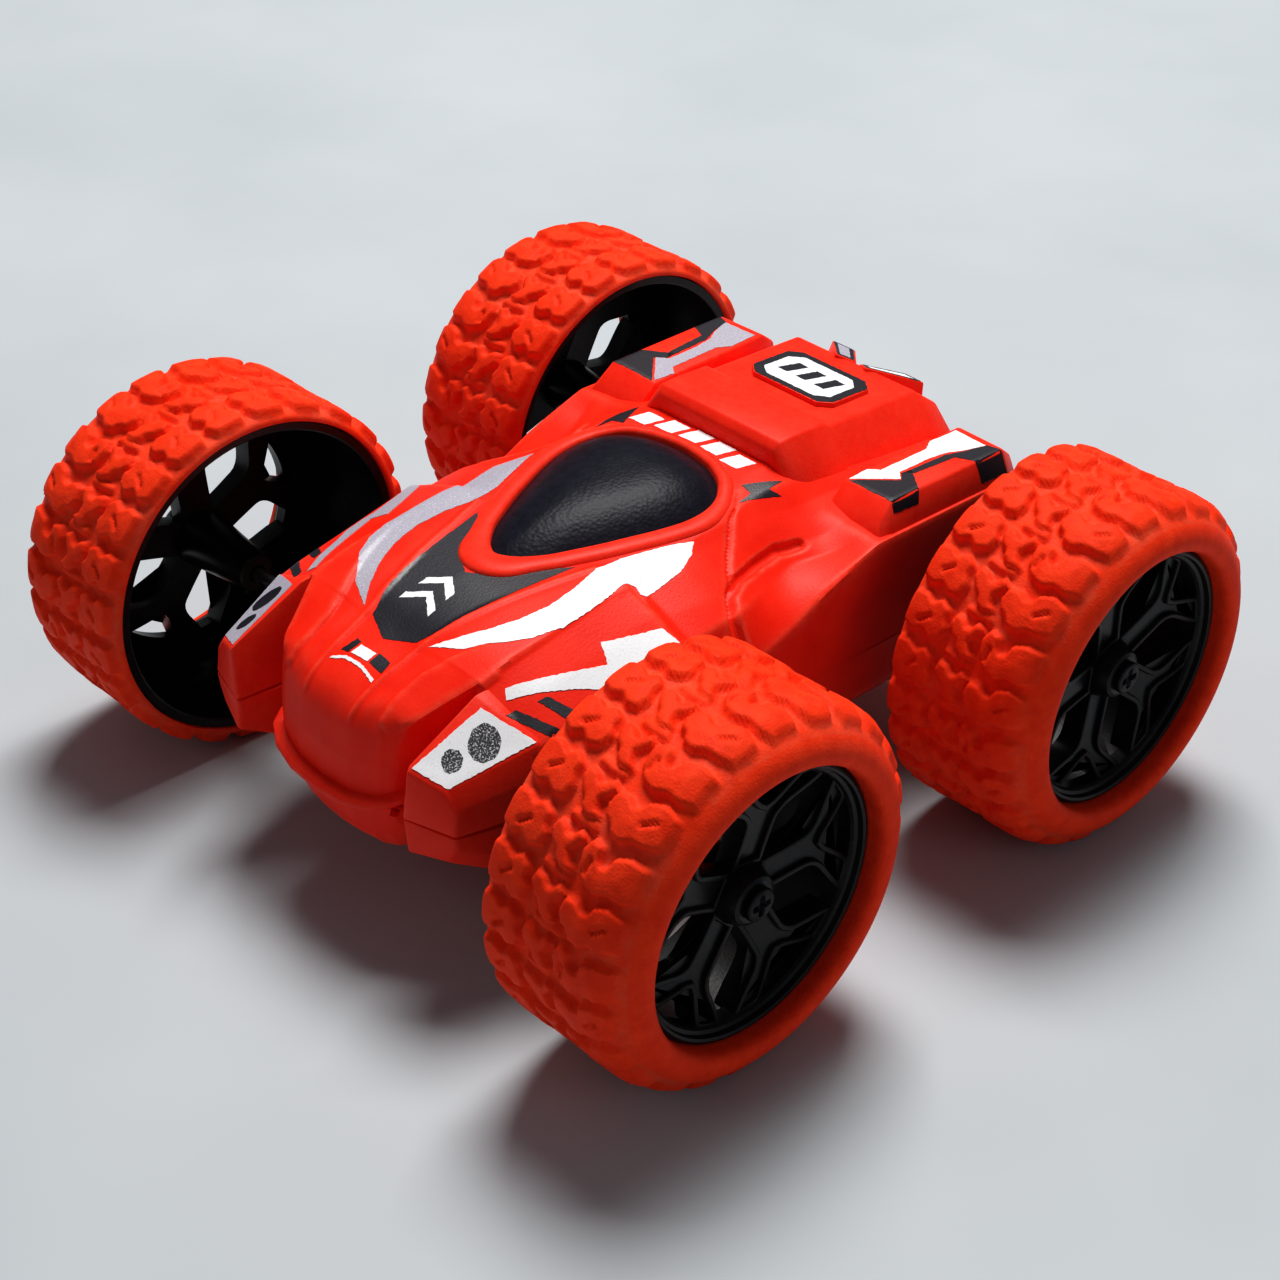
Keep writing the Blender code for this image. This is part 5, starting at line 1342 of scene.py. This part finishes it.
def moulded(name, dark, light, roughness, scale, bump, specular=0.4, waxy=0.0):
    """A moulded plastic with cloudy colour and a fine spark-eroded grain."""
    finish, tree, shader = new_finish(name)
    texture = use_group(tree, grain, Fine_scale=scale, Coarse_scale=scale / 9)
    tree.links.new(ramp(tree, texture.outputs["Patches"], ((0.3, dark), (0.7, light))),
                   shader.inputs["Base Color"])
    vary_roughness(tree, shader, texture.outputs["Patches"], roughness - 0.06, roughness + 0.08)
    shader.inputs["Specular IOR Level"].default_value = specular
    shader.inputs["Subsurface Weight"].default_value = waxy
    shader.inputs["Subsurface Scale"].default_value = 0.0008
    add_bump(tree, shader, texture.outputs["Height"], bump, 0.00010)
    return finish


board_finish, tree, shader = new_finish("lacquered_circuit_board")
where = node(tree, "ShaderNodeTexCoord").outputs["Object"]
tracks = node(tree, "ShaderNodeTexBrick", vector=where, scale=260.0, mortar_size=0.06)
tracks.inputs["Color1"].default_value = (0.010, 0.075, 0.030, 1)
tracks.inputs["Color2"].default_value = (0.014, 0.095, 0.040, 1)
tracks.inputs["Mortar"].default_value = (0.055, 0.20, 0.075, 1)
tree.links.new(tracks.outputs["Color"], shader.inputs["Base Color"])
shader.inputs["Roughness"].default_value = 0.30
add_bump(tree, shader, tracks.outputs["Fac"], 0.4, 0.00006)
sleeve_finish, tree, shader = new_finish("shrink_sleeve")
where = node(tree, "ShaderNodeTexCoord").outputs["Object"]
bands = node(tree, "ShaderNodeTexWave", vector=where, scale=34.0, distortion=0.6, detail=2.0)
bands.bands_direction = "Y"
tree.links.new(ramp(tree, bands.outputs["Fac"], ((0.46, (0.016, 0.050, 0.19)), (0.54, (0.030, 0.10, 0.30)))),
               shader.inputs["Base Color"])
wrinkles = use_group(tree, grain, Fine_scale=900.0, Coarse_scale=200.0)
shader.inputs["Roughness"].default_value = 0.28
add_bump(tree, shader, wrinkles.outputs["Height"], 0.3, 0.00012)
INSIDE_FINISHES = {
    "body_red": red_moulding,
    "canopy_black": black_satin,
    "hub_black": moulded("black_bush_plastic", (0.006, 0.006, 0.007), (0.018, 0.018, 0.020), 0.46, 2400.0,
        0.3, 0.25),
    "steel": bare_steel,
    "brass": brass,
    "nylon": moulded("waxy_nylon", (0.68, 0.66, 0.60), (0.80, 0.79, 0.74), 0.38, 1800.0, 0.2, 0.4, 0.25),
    "grey_plastic": moulded("grey_moulding", (0.13, 0.13, 0.14), (0.20, 0.20, 0.21), 0.48, 1600.0, 0.35),
    "inner_black": moulded("black_moulding", (0.010, 0.010, 0.011), (0.028, 0.028, 0.030), 0.5, 1700.0,
        0.35),
    "board": board_finish,
    "cell_sleeve": sleeve_finish}
for name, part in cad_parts.items():
    for holder in part.material_slots:
        wanted = holder.material.name.split(".")[0]
        if wanted in INSIDE_FINISHES:
            holder.material = INSIDE_FINISHES[wanted]
